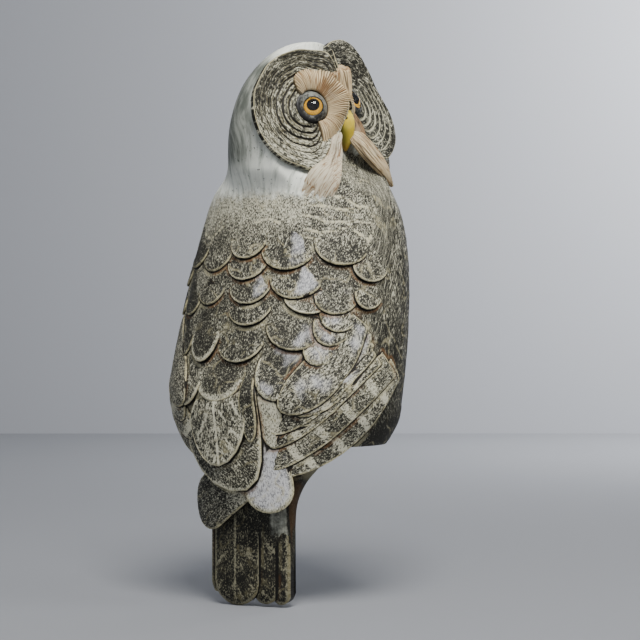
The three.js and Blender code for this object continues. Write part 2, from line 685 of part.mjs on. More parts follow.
let owl = makeBody();
for (const row of [...MANTLE, ...LEFT_SIDE]) owl = owl.add(plainFeather(row));
for (const spec of [...RIGHT_WING, ...LEFT_WING]) owl = owl.add(makeFeather(spec));
for (const row of TAIL) owl = owl.add(makeTailFeather(row));
for (const disc of DISCS) owl = owl.add(makeDisc(disc)).add(makeFan(disc));
for (const part of [...FACE_PARTS.map(makeFacePart), ...makeFeet()]) owl = owl.add(part);
owl = owl.subtract(ledgeRoom());

function eyeBall(disc, radius) {
  const ball = new THREE.SphereGeometry(radius, EYE_SIDES, EYE_SIDES / 2);
  const middle = disc.eye.clone()
    .addScaledVector(disc.outward, EYE_MIDDLE.out)
    .addScaledVector(disc.up, EYE_MIDDLE.up)
    .addScaledVector(disc.looks, EYE_MIDDLE.looks);
  ball.translate(middle.x, middle.y, middle.z);
  return ball;
}
for (const disc of DISCS) owl = owl.subtract(solidOf(eyeBall(disc, EYE_RADIUS + EYE_GAP)));

const model = new THREE.Group();
function addPiece(name, geometry, material) {
  const mesh = new THREE.Mesh(geometry, material);
  mesh.name = name;
  model.add(mesh);
}
addPiece('owl_figure', geometryOf(owl), GLAZED_CLAY);
addPiece('right_eye', geometryOf(solidOf(eyeBall(DISCS[0], EYE_RADIUS))), EYE_GLASS);
addPiece('left_eye', geometryOf(solidOf(eyeBall(DISCS[1], EYE_RADIUS))), EYE_GLASS);

export default model;
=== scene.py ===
"""A carved and glazed stoneware owl that sits on a ledge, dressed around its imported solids.

Lengths in the tables are millimetres in the owl's own frame: +Z up, breast towards -Y, tail towards
+Y, the owl's left wing towards +X, and the origin on the flat seat.
"""

import math

import bpy
import numpy as np
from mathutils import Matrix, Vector


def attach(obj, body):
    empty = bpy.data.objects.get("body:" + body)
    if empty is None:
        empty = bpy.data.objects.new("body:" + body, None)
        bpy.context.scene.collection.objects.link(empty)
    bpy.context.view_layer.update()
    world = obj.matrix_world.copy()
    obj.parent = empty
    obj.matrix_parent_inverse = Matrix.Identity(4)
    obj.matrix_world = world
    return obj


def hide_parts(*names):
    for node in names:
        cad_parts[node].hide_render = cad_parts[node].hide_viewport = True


bl_info = {
    "name": "Stoneware ledge owl",
    "version": (1, 0, 0),
    "blender": (4, 5, 0),
    "location": "View3D > Sidebar > Owl",
    "description": "Builds a carved and glazed stoneware owl with glass eyes",
    "category": "Add Mesh",
}

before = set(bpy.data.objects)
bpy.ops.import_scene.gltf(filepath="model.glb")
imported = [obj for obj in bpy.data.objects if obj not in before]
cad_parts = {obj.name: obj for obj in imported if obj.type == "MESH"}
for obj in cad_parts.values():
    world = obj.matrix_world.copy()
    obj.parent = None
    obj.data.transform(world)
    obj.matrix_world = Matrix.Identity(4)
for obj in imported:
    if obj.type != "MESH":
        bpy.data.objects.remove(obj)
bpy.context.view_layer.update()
MM = 0.001
FAR = 20.0                       # distance written where no edge is near

# Body by level: height, half width, middle in depth, reach to the back, reach to the front.
TRUNK = [
    [0, 84, -8, 74, 62], [4, 87, -8, 77, 66], [20, 95, -8, 81, 75], [44, 98, -7, 82, 82],
    [64, 98, -12, 81, 83], [97, 96.5, -19, 80, 83], [129, 94.5, -25.5, 79, 81], [162, 90, -32, 76, 77],
    [183, 85, -34.5, 73, 72], [199, 79, -34.5, 69.5, 66.5], [216, 69, -33, 62, 60], [235, 54, -31, 51, 51],
    [262, 30, -31, 30, 30],
]
# Rump below the seat: height, reach to the left and to the right, inner and outer face.
RUMP = [
    [0, 56, 68, 19, 59], [-14, 45, 56, 27, 60], [-28, 38, 45, 34, 60], [-44, 35, 38.5, 38, 60],
    [-64, 34, 36.5, 39, 58], [-96, 34, 34.5, 39, 55], [-118, 32, 31, 40, 53],
]
# Surface that the wing tips lie on: height, half width, middle, reach to the back.
WING_FALL = [[20, 95, -8, 81], [0, 84, -2, 74], [-20, 77, 2, 69], [-45, 71, 4, 65], [-75, 66, 4, 62]]

CROWN_Z = 330.0
CHEEK_Z = 240.0
NECK_Z = 195.0
NECK_FADE = 26.0
HEAD_HALF_DEPTH = 57.0
HEAD_HALF_SIDE = 78.0
HEAD_MIDDLE = np.array([-8.7, -30.7])
NECK_CREASE = 7.0
HEAD_TURN = 105.0
FACE_PITCH = 18.0
FACE_ROLL = 11.0
DISC_SPREAD = 13.0
HEAD_AXIS_Y = -33.0
EYE_FORWARD = 36.0
EYE_SIDE = 25.0
EYE_LEVEL = 277.5
EYE_RADIUS = 10.0
EYE_MIDDLE = (-1.0, -0.7, -4.5)  # middle of the glass: outward, up and forward of the disc's middle
DISC_THICK = 5.0
DISC_DISH = 5.0
DISC_LOW = 3.0
THROAT_SWELL = 1.1              # how fast the throat comes forward past a disc's rim
CHIN_FORWARD = -9.0             # hollow of the throat under the beak
CHIN_UP = -32.0
CHIN_RADIUS = 16.0
CHIN_SWELL = 0.8
LEDGE_EDGE_Y = 17.5
RUMP_SQUARENESS = 0.62
THROAT_NARROWING = 0.1
LEAST_FACING = 0.05             # cosine under which a level line is taken to miss a plane
BACK_MIDDLE = math.pi / 2

# Outlines of the face discs round the eyes: angle upwards from outward, radius.
RIGHT_DISC_RIM = [
    [-92, 33], [-80, 41], [-72, 50], [-62, 56], [-50, 58], [-38, 61], [-25, 63], [-10, 63.5], [5, 62],
    [15, 60], [28, 57], [43, 54], [63, 51.5], [83, 49.5], [104, 49.5], [122, 46], [130, 41], [140, 35],
    [150, 31], [165, 28], [180, 27], [225, 28], [254, 31],
]
LEFT_DISC_RIM = [
    [-90, 40], [-76, 54], [-52, 60], [-30, 64], [-14, 62], [0, 56], [14, 53], [28, 56], [44, 61], [60, 61],
    [86, 54], [110, 50], [125, 45], [140, 36], [150, 32], [165, 29], [180, 28], [225, 29], [256, 34],
]
# Cut rings of a disc as shares of its radius: beside the eye and below it.
DISC_RINGS = [(0.39, 0.28), (0.5, 0.385), (0.61, 0.49), (0.715, 0.61), (0.815, 0.72), (0.9, 0.84)]

# Feathers of the back: side and height of the tip, width, length, lean of the root, how dark the
# speckle is, how much lavender grey lies on it, width of its pale band, and which half is the pale one.
MANTLE = [
    [9, 148, 38, 40, 0, 0.62, 0.0], [-27, 139, 48, 44, -6, 0.6, 0.5, 0, -1],
    [-71, 143, 46, 40, -8, 0.68, 0.15], [-98, 130, 34, 36, -8, 0.6, 0.0, 1.2],
    [7, 131, 42, 40, 0, 0.66, 0.0, 1.4], [-39, 116, 46, 42, -4, 0.62, 0.75, 0, -1],
    [-72, 104, 38, 40, -8, 0.55, 0.4], [-99, 108, 26, 34, -8, 0.58, 0.0],
    [1, 112, 42, 40, 0, 0.64, 0.45, 1, -1], [-48, 105, 40, 30, -8, 0.56, 0.2, 1.6],
    [-2, 95, 44, 40, 2, 0.72, 0.05, 1.0], [-74, 91, 34, 38, -14, 0.5, 0.45],
    [-41, 76, 50, 44, -8, 0.68, 0.55, 0, -1], [-69, 80, 34, 44, -18, 0.5, 0.5],
    [3, 66, 48, 44, 2, 0.72, 0.1, 1.2], [44, 66, 38, 62, 4, 0.76, 0.0, 3.0],
    [-61, 65, 36, 54, -28, 0.48, 0.6], [-27, 39, 46, 60, -30, 0.72, 0.35, 3.4],
    [18, 36, 52, 42, 4, 0.74, 0.0, 4.4], [59, 32, 40, 50, 6, 0.72, 0.0, 2],
]
# The feathers of the owl's left side, by the same columns; their darker speckle also paints the shade on that
# side
LEFT_SIDE = [
    [42, 139, 42, 42, 6, 0.72, 0.0], [74, 143, 42, 40, 8, 0.84, 0.0], [98, 128, 34, 38, 8, 0.84, 0.0],
    [44, 112, 40, 42, 4, 0.7, 0.2], [72, 104, 38, 42, 8, 0.84, 0.0], [100, 104, 28, 40, 8, 0.84, 0.0],
    [76, 70, 36, 50, 10, 0.84, 0.0],
]
# Long feathers: root and tip as side and height. tone: how dark, grey: lavender share,
# period: length of one dark bar and its pale gap, quill: pale shaft.
RIGHT_WING = [
    dict(root=(-96, 100), tip=(-40, 29), width=36, bow=-6, rise=(1.5, 4.4), tilt=-1.2, tone=0.6, grey=0.4),
    dict(root=(-102, 92), tip=(-50, 27), width=28, bow=-8, rise=(1.5, 3.6), tilt=-1.2, tone=0.6, grey=0.5,
         period=34),
    dict(root=(-105, 84), tip=(-48, 19), width=26, bow=-7, rise=(1.5, 3), tilt=-1.4, depth=4, tone=0.6,
         grey=0.4, period=30),
    dict(root=(-108, 77), tip=(-30, 12), width=20, bow=-4, rise=(2, 3), tilt=-1.5, depth=5, base=0.7,
         tone=0.6, grey=0.3, period=34),
    dict(root=(-113, 71), tip=(-28, 1), width=20, bow=-2, rise=(2, 3), tilt=-1.5, depth=6, base=0.8,
         tone=0.6, grey=0.2, period=30),
    dict(root=(-127, 65), tip=(-24, -16), width=28, rise=(2.4, 3.4), tilt=-1.6, depth=8, base=0.9,
         tone=0.6, grey=0.15, period=27),
    dict(root=(-136, 61), tip=(-30, -20), width=30, bow=-6, rise=(2, 3), tilt=-1.6, depth=9, base=0.7,
         tone=0.6, period=27),
]
LEFT_WING = [
    dict(root=(102, 100), tip=(62, 32), width=36, bow=6, rise=(1.5, 4.4), tilt=1.2, tone=0.6),
    dict(root=(106, 90), tip=(64, 20), width=30, bow=6, rise=(1.5, 3.4), tilt=1.2, depth=4, period=34),
    dict(root=(114, 78), tip=(50, 6), width=26, bow=5, rise=(1.8, 3), tilt=1.4, depth=6, base=0.8, period=30),
    dict(root=(134, 66), tip=(32, -8), width=26, bow=4, rise=(2, 2.4), tilt=1.2, depth=9, base=0.8,
         tone=0.6, period=27),
]
WING_TIPS = [
    dict(root=(-46, 11), tip=(54, -58), width=44, rise=(-2, 1.5), depth=8, base=0.8, wide=0.8, tone=0.7,
         sunk=3, half=1.0),
    dict(root=(-24, 58), tip=(-33, 0), width=22, rise=(1.5, 3.4), depth=4, base=0.6, tone=0.2, sunk=3),
    dict(root=(-22, 40), tip=(-27, -50), width=40, rise=(0, 6.2), depth=5, base=0.5, wide=0.78,
         tone=0.3, grey=1.0, sunk=2),
    dict(root=(27, 52), tip=(-10, -32), width=86, bow=6, rise=(2, 7.6), depth=8, base=0.9, point=1.3,
         wide=0.3, tone=0.62, sunk=6, band=2.4),
    dict(root=(-9, 60), tip=(-15, 5), width=14, rise=(5, 8.2), depth=3, base=0.7, tone=0.75, sunk=6),
    dict(root=(24, 54), tip=(12, -14), width=60, rise=(4, 10.6), depth=4, base=0.7, point=1.5, wide=0.42,
         tone=0.56, quill=1.0, sunk=9, vee=21, band=1.6),
]
# Tail feathers: middle, width, bottom height, outer face, thickness.
TAIL = [[0, 70, -119, 53, 12], [10, 42, -126, 60, 12], [-14, 24, -124, 57.5, 12],
        [-27, 16, -124, 56, 14], [31, 10, -117, 56, 12]]
TAIL_TOP = -24.0


# Small maths on arrays

def smoothstep(value, low, high):
    t = np.clip((value - low) / (high - low), 0, 1)
    return t * t * (3 - 2 * t)


def within(value, rise_from, rise_to, fall_from, fall_to):
    """1 between two limits, easing to 0 outside them."""
    return smoothstep(value, rise_from, rise_to) * (1 - smoothstep(value, fall_from, fall_to))


def value_at(table, level, column):
    """Smooth value of one column of a table at levels between its rows."""
    table = np.array(sorted(table), float)
    z, v = table[:, 0], table[:, column]
    slope = np.empty_like(v)
    slope[1:-1] = (v[2:] - v[:-2]) / (z[2:] - z[:-2])
    slope[0] = (v[1] - v[0]) / (z[1] - z[0])
    slope[-1] = (v[-1] - v[-2]) / (z[-1] - z[-2])
    level = np.clip(np.asarray(level, float), z[0], z[-1])
    i = np.clip(np.searchsorted(z, level, side="right") - 1, 0, len(z) - 2)
    span = z[i + 1] - z[i]
    t = (level - z[i]) / span
    t2, t3 = t * t, t * t * t
    return ((2 * t3 - 3 * t2 + 1) * v[i] + (t3 - 2 * t2 + t) * span * slope[i]
            + (3 * t2 - 2 * t3) * v[i + 1] + (t3 - t2) * span * slope[i + 1])


def soft_noise(points, seed):
    """Smooth noise from -1 to 1 at points whose coordinates are in cells of the pattern."""
    points = np.asarray(points, float)
    size = 32
    lattice = np.random.RandomState(seed).uniform(-1, 1, (size, size, size))
    base = np.floor(points).astype(int)
    t = points - base
    t = t * t * (3 - 2 * t)
    total = np.zeros(len(points))
    for corner in range(8):
        d = np.array([corner & 1, corner >> 1 & 1, corner >> 2 & 1])
        weight = np.prod(np.where(d == 1, t, 1 - t), axis=1)
        cell = (base + d) % size
        total += weight * lattice[cell[:, 0], cell[:, 1], cell[:, 2]]
    return total


def unit(vectors):
    return vectors / np.maximum(np.linalg.norm(vectors, axis=-1, keepdims=True), 1e-9)


def rows(*columns):
    """Points, one a row, from their coordinates."""
    return np.stack(np.broadcast_arrays(*columns), axis=-1)


def noise_at(seed, *place):
    return soft_noise(rows(*place), seed)


def moved(start, *moves):
    """Points moved along directions: each move is a direction and how far."""
    for direction, reach in moves:
        start = start + direction * np.asarray(reach)[..., None]
    return start


def spread_evenly(values, share):
    """Smooth value at a share of a line along which the values lie evenly."""
    return value_at([*zip(np.linspace(0, 1, len(values)), values)], share, 1)


# Shape of the body under the feathers

def head_frame():
    """Directions of the turned head: level, side, forward, towards the near disc, and up."""
    facing = math.radians(-90 - HEAD_TURN)
    level = np.array([math.cos(facing), math.sin(facing), 0.0])
    side = np.array([level[1], -level[0], 0.0])
    pitch, roll = math.radians(FACE_PITCH), math.radians(FACE_ROLL)
    forward = level * math.cos(pitch)
    forward[2] = math.sin(pitch)
    up = unit(np.cross(forward, side))
    if up[2] < 0:
        up = -up
    near_side = side * math.cos(roll) - up * math.sin(roll)
    rolled_up = up * math.cos(roll) + side * math.sin(roll)
    return dict(level=level, side=side, forward=forward, near=near_side, up=rolled_up)


HEAD = head_frame()


def face_point(forward, side, up):
    """Point in the head's own directions from the middle between the eyes."""
    start = np.array([0.0, HEAD_AXIS_Y, EYE_LEVEL]) + HEAD["level"] * EYE_FORWARD
    return start + HEAD["forward"] * forward + HEAD["near"] * side + HEAD["up"] * up


def disc_frame(which):
    spread = math.radians(DISC_SPREAD)
    looks = HEAD["forward"] * math.cos(spread) + HEAD["near"] * which * math.sin(spread)
    outward = HEAD["near"] * which * math.cos(spread) - HEAD["forward"] * math.sin(spread)
    eye = face_point(0, which * EYE_SIDE, 0)
    return dict(eye=eye, outward=outward, up=HEAD["up"], looks=looks, which=which)


DISCS = {"right": disc_frame(1), "left": disc_frame(-1)}


def from_eye(disc, out, up, looks):
    """Points outward, upward and forward of the middle of a disc's eye."""
    return moved(disc["eye"], (disc["outward"], out), (disc["up"], up), (disc["looks"], looks))


def axis_point(z):
    """Side and depth of the line up through the middle of the body, at a height."""
    share = smoothstep(z, 200, 245)
    x = HEAD_MIDDLE[0] * share
    y = value_at(TRUNK, z, 2) * (1 - share) + HEAD_MIDDLE[1] * share
    return x, y


def round_axis(radius, angle, z):
    ax, ay = axis_point(z)
    return rows(ax + radius * np.cos(angle), ay + radius * np.sin(angle), z)


def trunk_radius(angle, z):
    c, s = np.cos(angle), np.sin(angle)
    reach = np.where(s > 0, value_at(TRUNK, z, 3), value_at(TRUNK, z, 4))
    radius = 1 / np.hypot(c / value_at(TRUNK, z, 1), s / reach)
    return np.where(z > TRUNK[-1][0], 0, radius)


def head_radius(angle, z):
    above = np.clip((z - CHEEK_Z) / (CROWN_Z - CHEEK_Z), 0, 0.99999)
    below = smoothstep(CHEEK_Z - z, 5, 60)
    scale = np.sqrt(1 - above * above) * (1 - THROAT_NARROWING * below)
    ax, ay = axis_point(z)
    ox, oy = ax - HEAD_MIDDLE[0], ay - HEAD_MIDDLE[1]
    c, s = np.cos(angle), np.sin(angle)
    level, side = HEAD["level"], HEAD["side"]
    depth, breadth = HEAD_HALF_DEPTH * scale, HEAD_HALF_SIDE * scale
    off_f, off_s = (ox * level[0] + oy * level[1]) / depth, (ox * side[0] + oy * side[1]) / breadth
    dir_f, dir_s = (c * level[0] + s * level[1]) / depth, (c * side[0] + s * side[1]) / breadth
    a = dir_f ** 2 + dir_s ** 2
    b = off_f * dir_f + off_s * dir_s
    cc = off_f ** 2 + off_s ** 2 - 1
    radius = (-b + np.sqrt(np.maximum(0, b * b - a * cc))) / a
    for disc in DISCS.values():
        reach, _, met = meet_plane(angle, z, disc["eye"] - disc["looks"] * DISC_THICK, disc["looks"])
        radius = np.where(met, np.minimum(radius, reach), radius)
    return np.where((z < NECK_Z) | (z >= CROWN_Z), 0, radius)


def disc_radius(disc, degrees):
    rim = RIGHT_DISC_RIM if disc["which"] > 0 else LEFT_DISC_RIM
    first = rim[0][0]
    return value_at(rim + [[first + 360, rim[0][1]]], (np.asarray(degrees, float) - first) % 360 + first, 1)


def meet_plane(angle, z, on_plane, normal):
    """Where level lines from the axis meet a plane: how far along, the point, and whether they do."""
    ax, ay = axis_point(z)
    c, s = np.cos(angle), np.sin(angle)
    facing = c * normal[0] + s * normal[1]
    reach = (on_plane[0] - ax) * normal[0] + (on_plane[1] - ay) * normal[1] + (on_plane[2] - z) * normal[2]
    met = facing > LEAST_FACING
    reach = np.maximum(reach / np.where(met, facing, 1), 1)
    return reach, rows(ax + reach * c, ay + reach * s, z), met


def room_in_throat(angle, z):
    """How far the throat may reach before it would cover a face disc or the beak's tip."""
    room = np.full(np.shape(angle), 1000.0)
    for disc in DISCS.values():
        reach, place, met = meet_plane(angle, z, disc["eye"] - disc["looks"] * DISC_THICK, disc["looks"])
        out, up = (place - disc["eye"]) @ disc["outward"], (place - disc["eye"]) @ disc["up"]
        past_rim = np.hypot(out, up) - disc_radius(disc, np.degrees(np.arctan2(up, out)))
        room = np.where(met, np.minimum(room, reach + THROAT_SWELL * np.maximum(0, past_rim)), room)
    chin = face_point(CHIN_FORWARD, 0, CHIN_UP)
    reach, place, met = meet_plane(angle, z, chin, HEAD["forward"])
    past_chin = np.linalg.norm(place - chin, axis=-1) - CHIN_RADIUS
    return np.where(met, np.minimum(room, reach + CHIN_SWELL * np.maximum(0, past_chin)), room)


def body_radius(angle, z):
    angle, z = np.broadcast_arrays(np.asarray(angle, float), np.asarray(z, float))
    trunk, head = trunk_radius(angle, z), head_radius(angle, z)
    comes_in = smoothstep(z, NECK_Z, NECK_Z + NECK_FADE)
    blend = np.maximum(0, NECK_CREASE * 2 - np.abs(trunk - head)) * comes_in
    wider = trunk + np.maximum(0, head - trunk) * np.where(trunk > 0, comes_in, 1)
    radius = wider + blend * blend / (8 * NECK_CREASE)
    return np.where(z > NECK_Z, np.minimum(radius, room_in_throat(angle, z)), radius)


def skin(angle, z):
    """Point of the skin under the feathers at an angle and a height."""
    angle, z = np.broadcast_arrays(np.asarray(angle, float), np.asarray(z, float))
    c, s = np.cos(angle), np.sin(angle)
    low = z < WING_FALL[0][0]
    fall = 1 / np.hypot(c / value_at(WING_FALL, z, 1), s / value_at(WING_FALL, z, 3))
    r = np.where(low, fall, body_radius(angle, z))
    ax, ay = axis_point(z)
    ax = np.where(low, 0, ax)
    ay = np.where(low, value_at(WING_FALL, z, 2), ay)
    return rows(ax + r * c, ay + r * s, z)


def girth_at(z):
    """Millimetres on the skin for each radian round the axis."""
    low = np.asarray(z) < WING_FALL[0][0]
    fall = (value_at(WING_FALL, z, 1) + value_at(WING_FALL, z, 3)) / 2
    trunk = (value_at(TRUNK, z, 1) + value_at(TRUNK, z, 3)) / 2
    return np.where(low, fall, trunk)


def drape(side, z, lift):
    """Point over the skin, side mm round from the middle of the back towards the owl's left."""
    side, z = np.asarray(side, float), np.asarray(z, float)
    angle = BACK_MIDDLE - side / girth_at(z)
    step = 0.02
    across = skin(angle - step, z) - skin(angle + step, z)
    upward = skin(angle, z + 1) - skin(angle, z - 1)
    normal = unit(np.cross(upward, across))
    outward = rows(np.cos(angle), np.sin(angle), 0.0)
    normal = np.where(np.sum(normal * outward, axis=-1, keepdims=True) < 0, -normal, normal)
    return moved(skin(angle, z), (normal, lift))


def clear_of_ledge(points):
    """Moves what would lie in the room of the ledge to the nearer of its two faces."""
    inside = (points[:, 2] < 0) & (points[:, 1] < LEDGE_EDGE_Y)
    up = inside & (-points[:, 2] < LEDGE_EDGE_Y - points[:, 1])
    out = inside & ~up
    points[up, 2] = 0
    points[out, 1] = LEDGE_EDGE_Y
    return points


# Feathers as plates: shares across and along, outlines and distances

class Feather:
    """One carved feather in the plane of the back: side and height.

    Its shape: bow is its bend to the side, rise its height at the root and the tip, tilt the height of one
    side over the other, depth how far its back lies under the skin, point how round its tip is, wide the
    share of its length where it is widest, base its width at the root as a share, sunk how deep its root
    lies, sides how far its sides fall, and sweep how late it rises. Its glaze: vee is the length of a
    pale patch and its gap, band the width of the pale band, and half which half or end is the pale one.
    """

    def __init__(self, root, tip, width, bow=0, rise=(0, 4), tilt=0, depth=3, point=2.0, wide=0.55, base=0.5,
                 sunk=0.0, sides=0.0, sweep=1.0, tone=0.5, grey=0.0, period=0.0, quill=0.0, vee=0.0, band=0.0,
                 half=0.0):
        self.root, self.width, self.bow, self.rise, self.tilt = np.array(root, float), width, bow, rise, tilt
        self.depth, self.point, self.wide, self.base = depth, point, wide, base
        self.sunk, self.sides, self.sweep = sunk, sides, sweep
        self.tone, self.grey, self.period, self.quill = tone, grey, period, quill
        self.vee, self.band, self.half = vee, band, half
        run = np.array(tip, float) - self.root
        self.length = float(np.linalg.norm(run))
        self.ahead = run / self.length
        self.beside = np.array([-self.ahead[1], self.ahead[0]])

    def patch(self, u, v):
        """Distance from the shaft and share of the length at shares u across and v along."""
        half = self.width / 2

        def narrow(s):
            return self.base + (1 - self.base) * np.sin(np.clip(s / self.wide, 0, 1) * math.pi / 2)

        side_s = self.wide * v
        side_a = half * narrow(side_s)
        turn = math.pi * (1 - u)
        tip_a = half * np.cos(turn)
        tip_s = self.wide + (1 - self.wide) * np.abs(np.sin(turn)) ** (2 / self.point)
        root_a = half * self.base * (2 * u - 1)
        a = ((1 - v) * root_a + v * tip_a + (1 - u) * -side_a + u * side_a
             - ((1 - u) * (1 - v) * -half * self.base + u * (1 - v) * half * self.base
                + (1 - u) * v * -half + u * v * half))
        s = v * tip_s + side_s - v * self.wide
        return a, s

    def plane(self, a, s):
        curve = self.bow * 4 * s * (1 - s)
        return moved(self.root, (self.ahead, self.length * s), (self.beside, curve + a))

    def lift(self, a, s):
        q = a / (self.width / 2)
        sunk = self.sunk * (1 - smoothstep(s, 0, 0.4))
        sides = self.sides * q * q * (1 - smoothstep(s, self.wide, 0.5 + self.wide / 2))
        return (self.rise[0] + (self.rise[1] - self.rise[0]) * s ** self.sweep + self.tilt * q - 0.7 * q * q
                - sunk - sides)

    def outline(self, count=40):
        """Closed outline in the plane of the back, with the lift at each point."""
        t = np.linspace(0, 1, count)
        ends = [self.patch(np.zeros(count), t), self.patch(t, np.ones(count)),
                self.patch(np.ones(count), t[::-1]), self.patch(t[::-1], np.zeros(count))]
        a = np.concatenate([e[0][:-1] for e in ends])
        s = np.concatenate([e[1][:-1] for e in ends])
        return self.plane(a, s), self.lift(a, s)


def outline_distance(points, outline):
    """Signed distance to a closed outline, positive outside, and the nearest outline point's index."""
    start, end = outline, np.roll(outline, -1, axis=0)
    run = end - start
    length2 = np.maximum((run ** 2).sum(1), 1e-9)
    rel = points[:, None, :] - start[None]
    t = np.clip((rel * run).sum(2) / length2, 0, 1)
    gap = rel - t[..., None] * run
    d2 = (gap ** 2).sum(2)
    nearest = d2.argmin(1)
    distance = np.sqrt(d2[np.arange(len(points)), nearest])
    crosses = (start[None, :, 1] > points[:, None, 1]) != (end[None, :, 1] > points[:, None, 1])
    rise = np.where(np.abs(run[:, 1]) < 1e-9, 1e-9, run[:, 1])
    at = start[None, :, 0] + (points[:, None, 1] - start[None, :, 1]) * (run[:, 0] / rise)[None]
    inside = (crosses & (points[:, None, 0] < at)).sum(1) % 2 == 1
    return np.where(inside, -distance, distance), nearest


def covered_by(points, lifts, feathers, skip=None):
    """Distance from each point to the nearest edge of a feather that lies over it."""
    nearest_edge = np.full(len(points), FAR)
    for feather in feathers:
        if feather is skip:
            continue
        outline, heights = feather.outline()
        low, high = outline.min(0) - 8, outline.max(0) + 8
        near = np.where(((points > low) & (points < high)).all(1))[0]
        if not len(near):
            continue
        distance, index = outline_distance(points[near], outline)
        over = heights[index] > lifts[near] + 0.25
        nearest_edge[near] = np.where(over, np.minimum(nearest_edge[near], distance), nearest_edge[near])
    return nearest_edge


def plain_feather(row, rise=3.5):
    side, height, width, length, lean, tone, grey, *rest = row
    band, half = (*rest, 0.0, 0.0)[:2]
    return Feather((side + lean, height + length), (side, height), width, rise=(-0.5, rise), sides=1.8,
                   sweep=1.5, tone=tone, grey=grey, band=band, half=half)


LOW_RISE = 1.8                   # rise of the feathers at the left, which would show in the outline

# Feathers of each piece, with the number of the first one.
FLOCKS = {
    "back_feathers": (0, [*map(plain_feather, MANTLE), *(plain_feather(row, LOW_RISE) for row in LEFT_SIDE)]),
    "right_wing_feathers": (40, [Feather(**spec) for spec in RIGHT_WING]),
    "left_wing_feathers": (60, [Feather(**spec) for spec in LEFT_WING]),
    "wing_tips": (80, [Feather(**spec) for spec in WING_TIPS]),
}
ALL_FEATHERS = [feather for _, flock in FLOCKS.values() for feather in flock]


# Blanks: closed primitives that are then shaped

def deselect_all():
    if bpy.context.object and bpy.context.object.mode != "OBJECT":
        bpy.ops.object.mode_set(mode="OBJECT")
    bpy.ops.object.select_all(action="DESELECT")


def face_outward():
    """Turns the faces of the mesh in edit mode outward, and leaves edit mode."""
    bpy.ops.mesh.select_all(action="SELECT")
    bpy.ops.mesh.normals_make_consistent(inside=False)
    bpy.ops.object.mode_set(mode="OBJECT")


def plate_blank(name, across, along, levels):
    """Closed plate: a grid from -1 to 1, drawn down in steps of 1 for its edge and its back."""
    deselect_all()
    bpy.ops.mesh.primitive_grid_add(x_subdivisions=across, y_subdivisions=along, size=2)
    blank = bpy.context.object
    blank.name = name
    bpy.ops.object.mode_set(mode="EDIT")
    bpy.ops.mesh.select_all(action="SELECT")
    for _ in range(levels):
        bpy.ops.mesh.extrude_region_move(TRANSFORM_OT_translate={"value": (0, 0, -1)})
    face_outward()
    return blank


def ball_blank(name, segments, rings):
    deselect_all()
    bpy.ops.mesh.primitive_uv_sphere_add(segments=segments, ring_count=rings, radius=1)
    blank = bpy.context.object
    blank.name = name
    return blank


def copy_of(blank, name):
    copy = blank.copy()
    copy.data = blank.data.copy()
    copy.name = name
    bpy.context.collection.objects.link(copy)
    return copy


def corners_of(piece):
    points = np.empty(len(piece.data.vertices) * 3)
    piece.data.vertices.foreach_get("co", points)
    return points.reshape(-1, 3)


def shape(piece, points_mm):
    """Moves a piece's corners to points given in millimetres."""
    piece.data.vertices.foreach_set("co", (np.asarray(points_mm) * MM).astype(np.float32).ravel())
    piece.data.update()


def note(piece, **values):
    """Writes what the glaze has to know at each corner."""
    for name, value in values.items():
        attribute = piece.data.attributes.get(name) or piece.data.attributes.new(name, "FLOAT", "POINT")
        full = np.broadcast_to(np.asarray(value, np.float32), (len(piece.data.vertices),))
        attribute.data.foreach_set("value", np.ascontiguousarray(full))


def joined(pieces, name):
    deselect_all()
    for piece in pieces:
        piece.select_set(True)
    bpy.context.view_layer.objects.active = pieces[0]
    if len(pieces) > 1:
        bpy.ops.object.join()
    whole = bpy.context.object
    whole.name = name
    whole.data.name = name
    return whole


def finish_piece(piece, material, node, angle=60):
    """Makes normals point out, shades the piece smooth, and gives it its material and its place."""
    deselect_all()
    piece.select_set(True)
    bpy.context.view_layer.objects.active = piece
    bpy.ops.object.mode_set(mode="EDIT")
    face_outward()
    bpy.ops.object.shade_smooth_by_angle(angle=math.radians(angle))
    piece.data.materials.clear()
    piece.data.materials.append(material)
    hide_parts(node)
    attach(piece, "root")
    return piece


# Materials

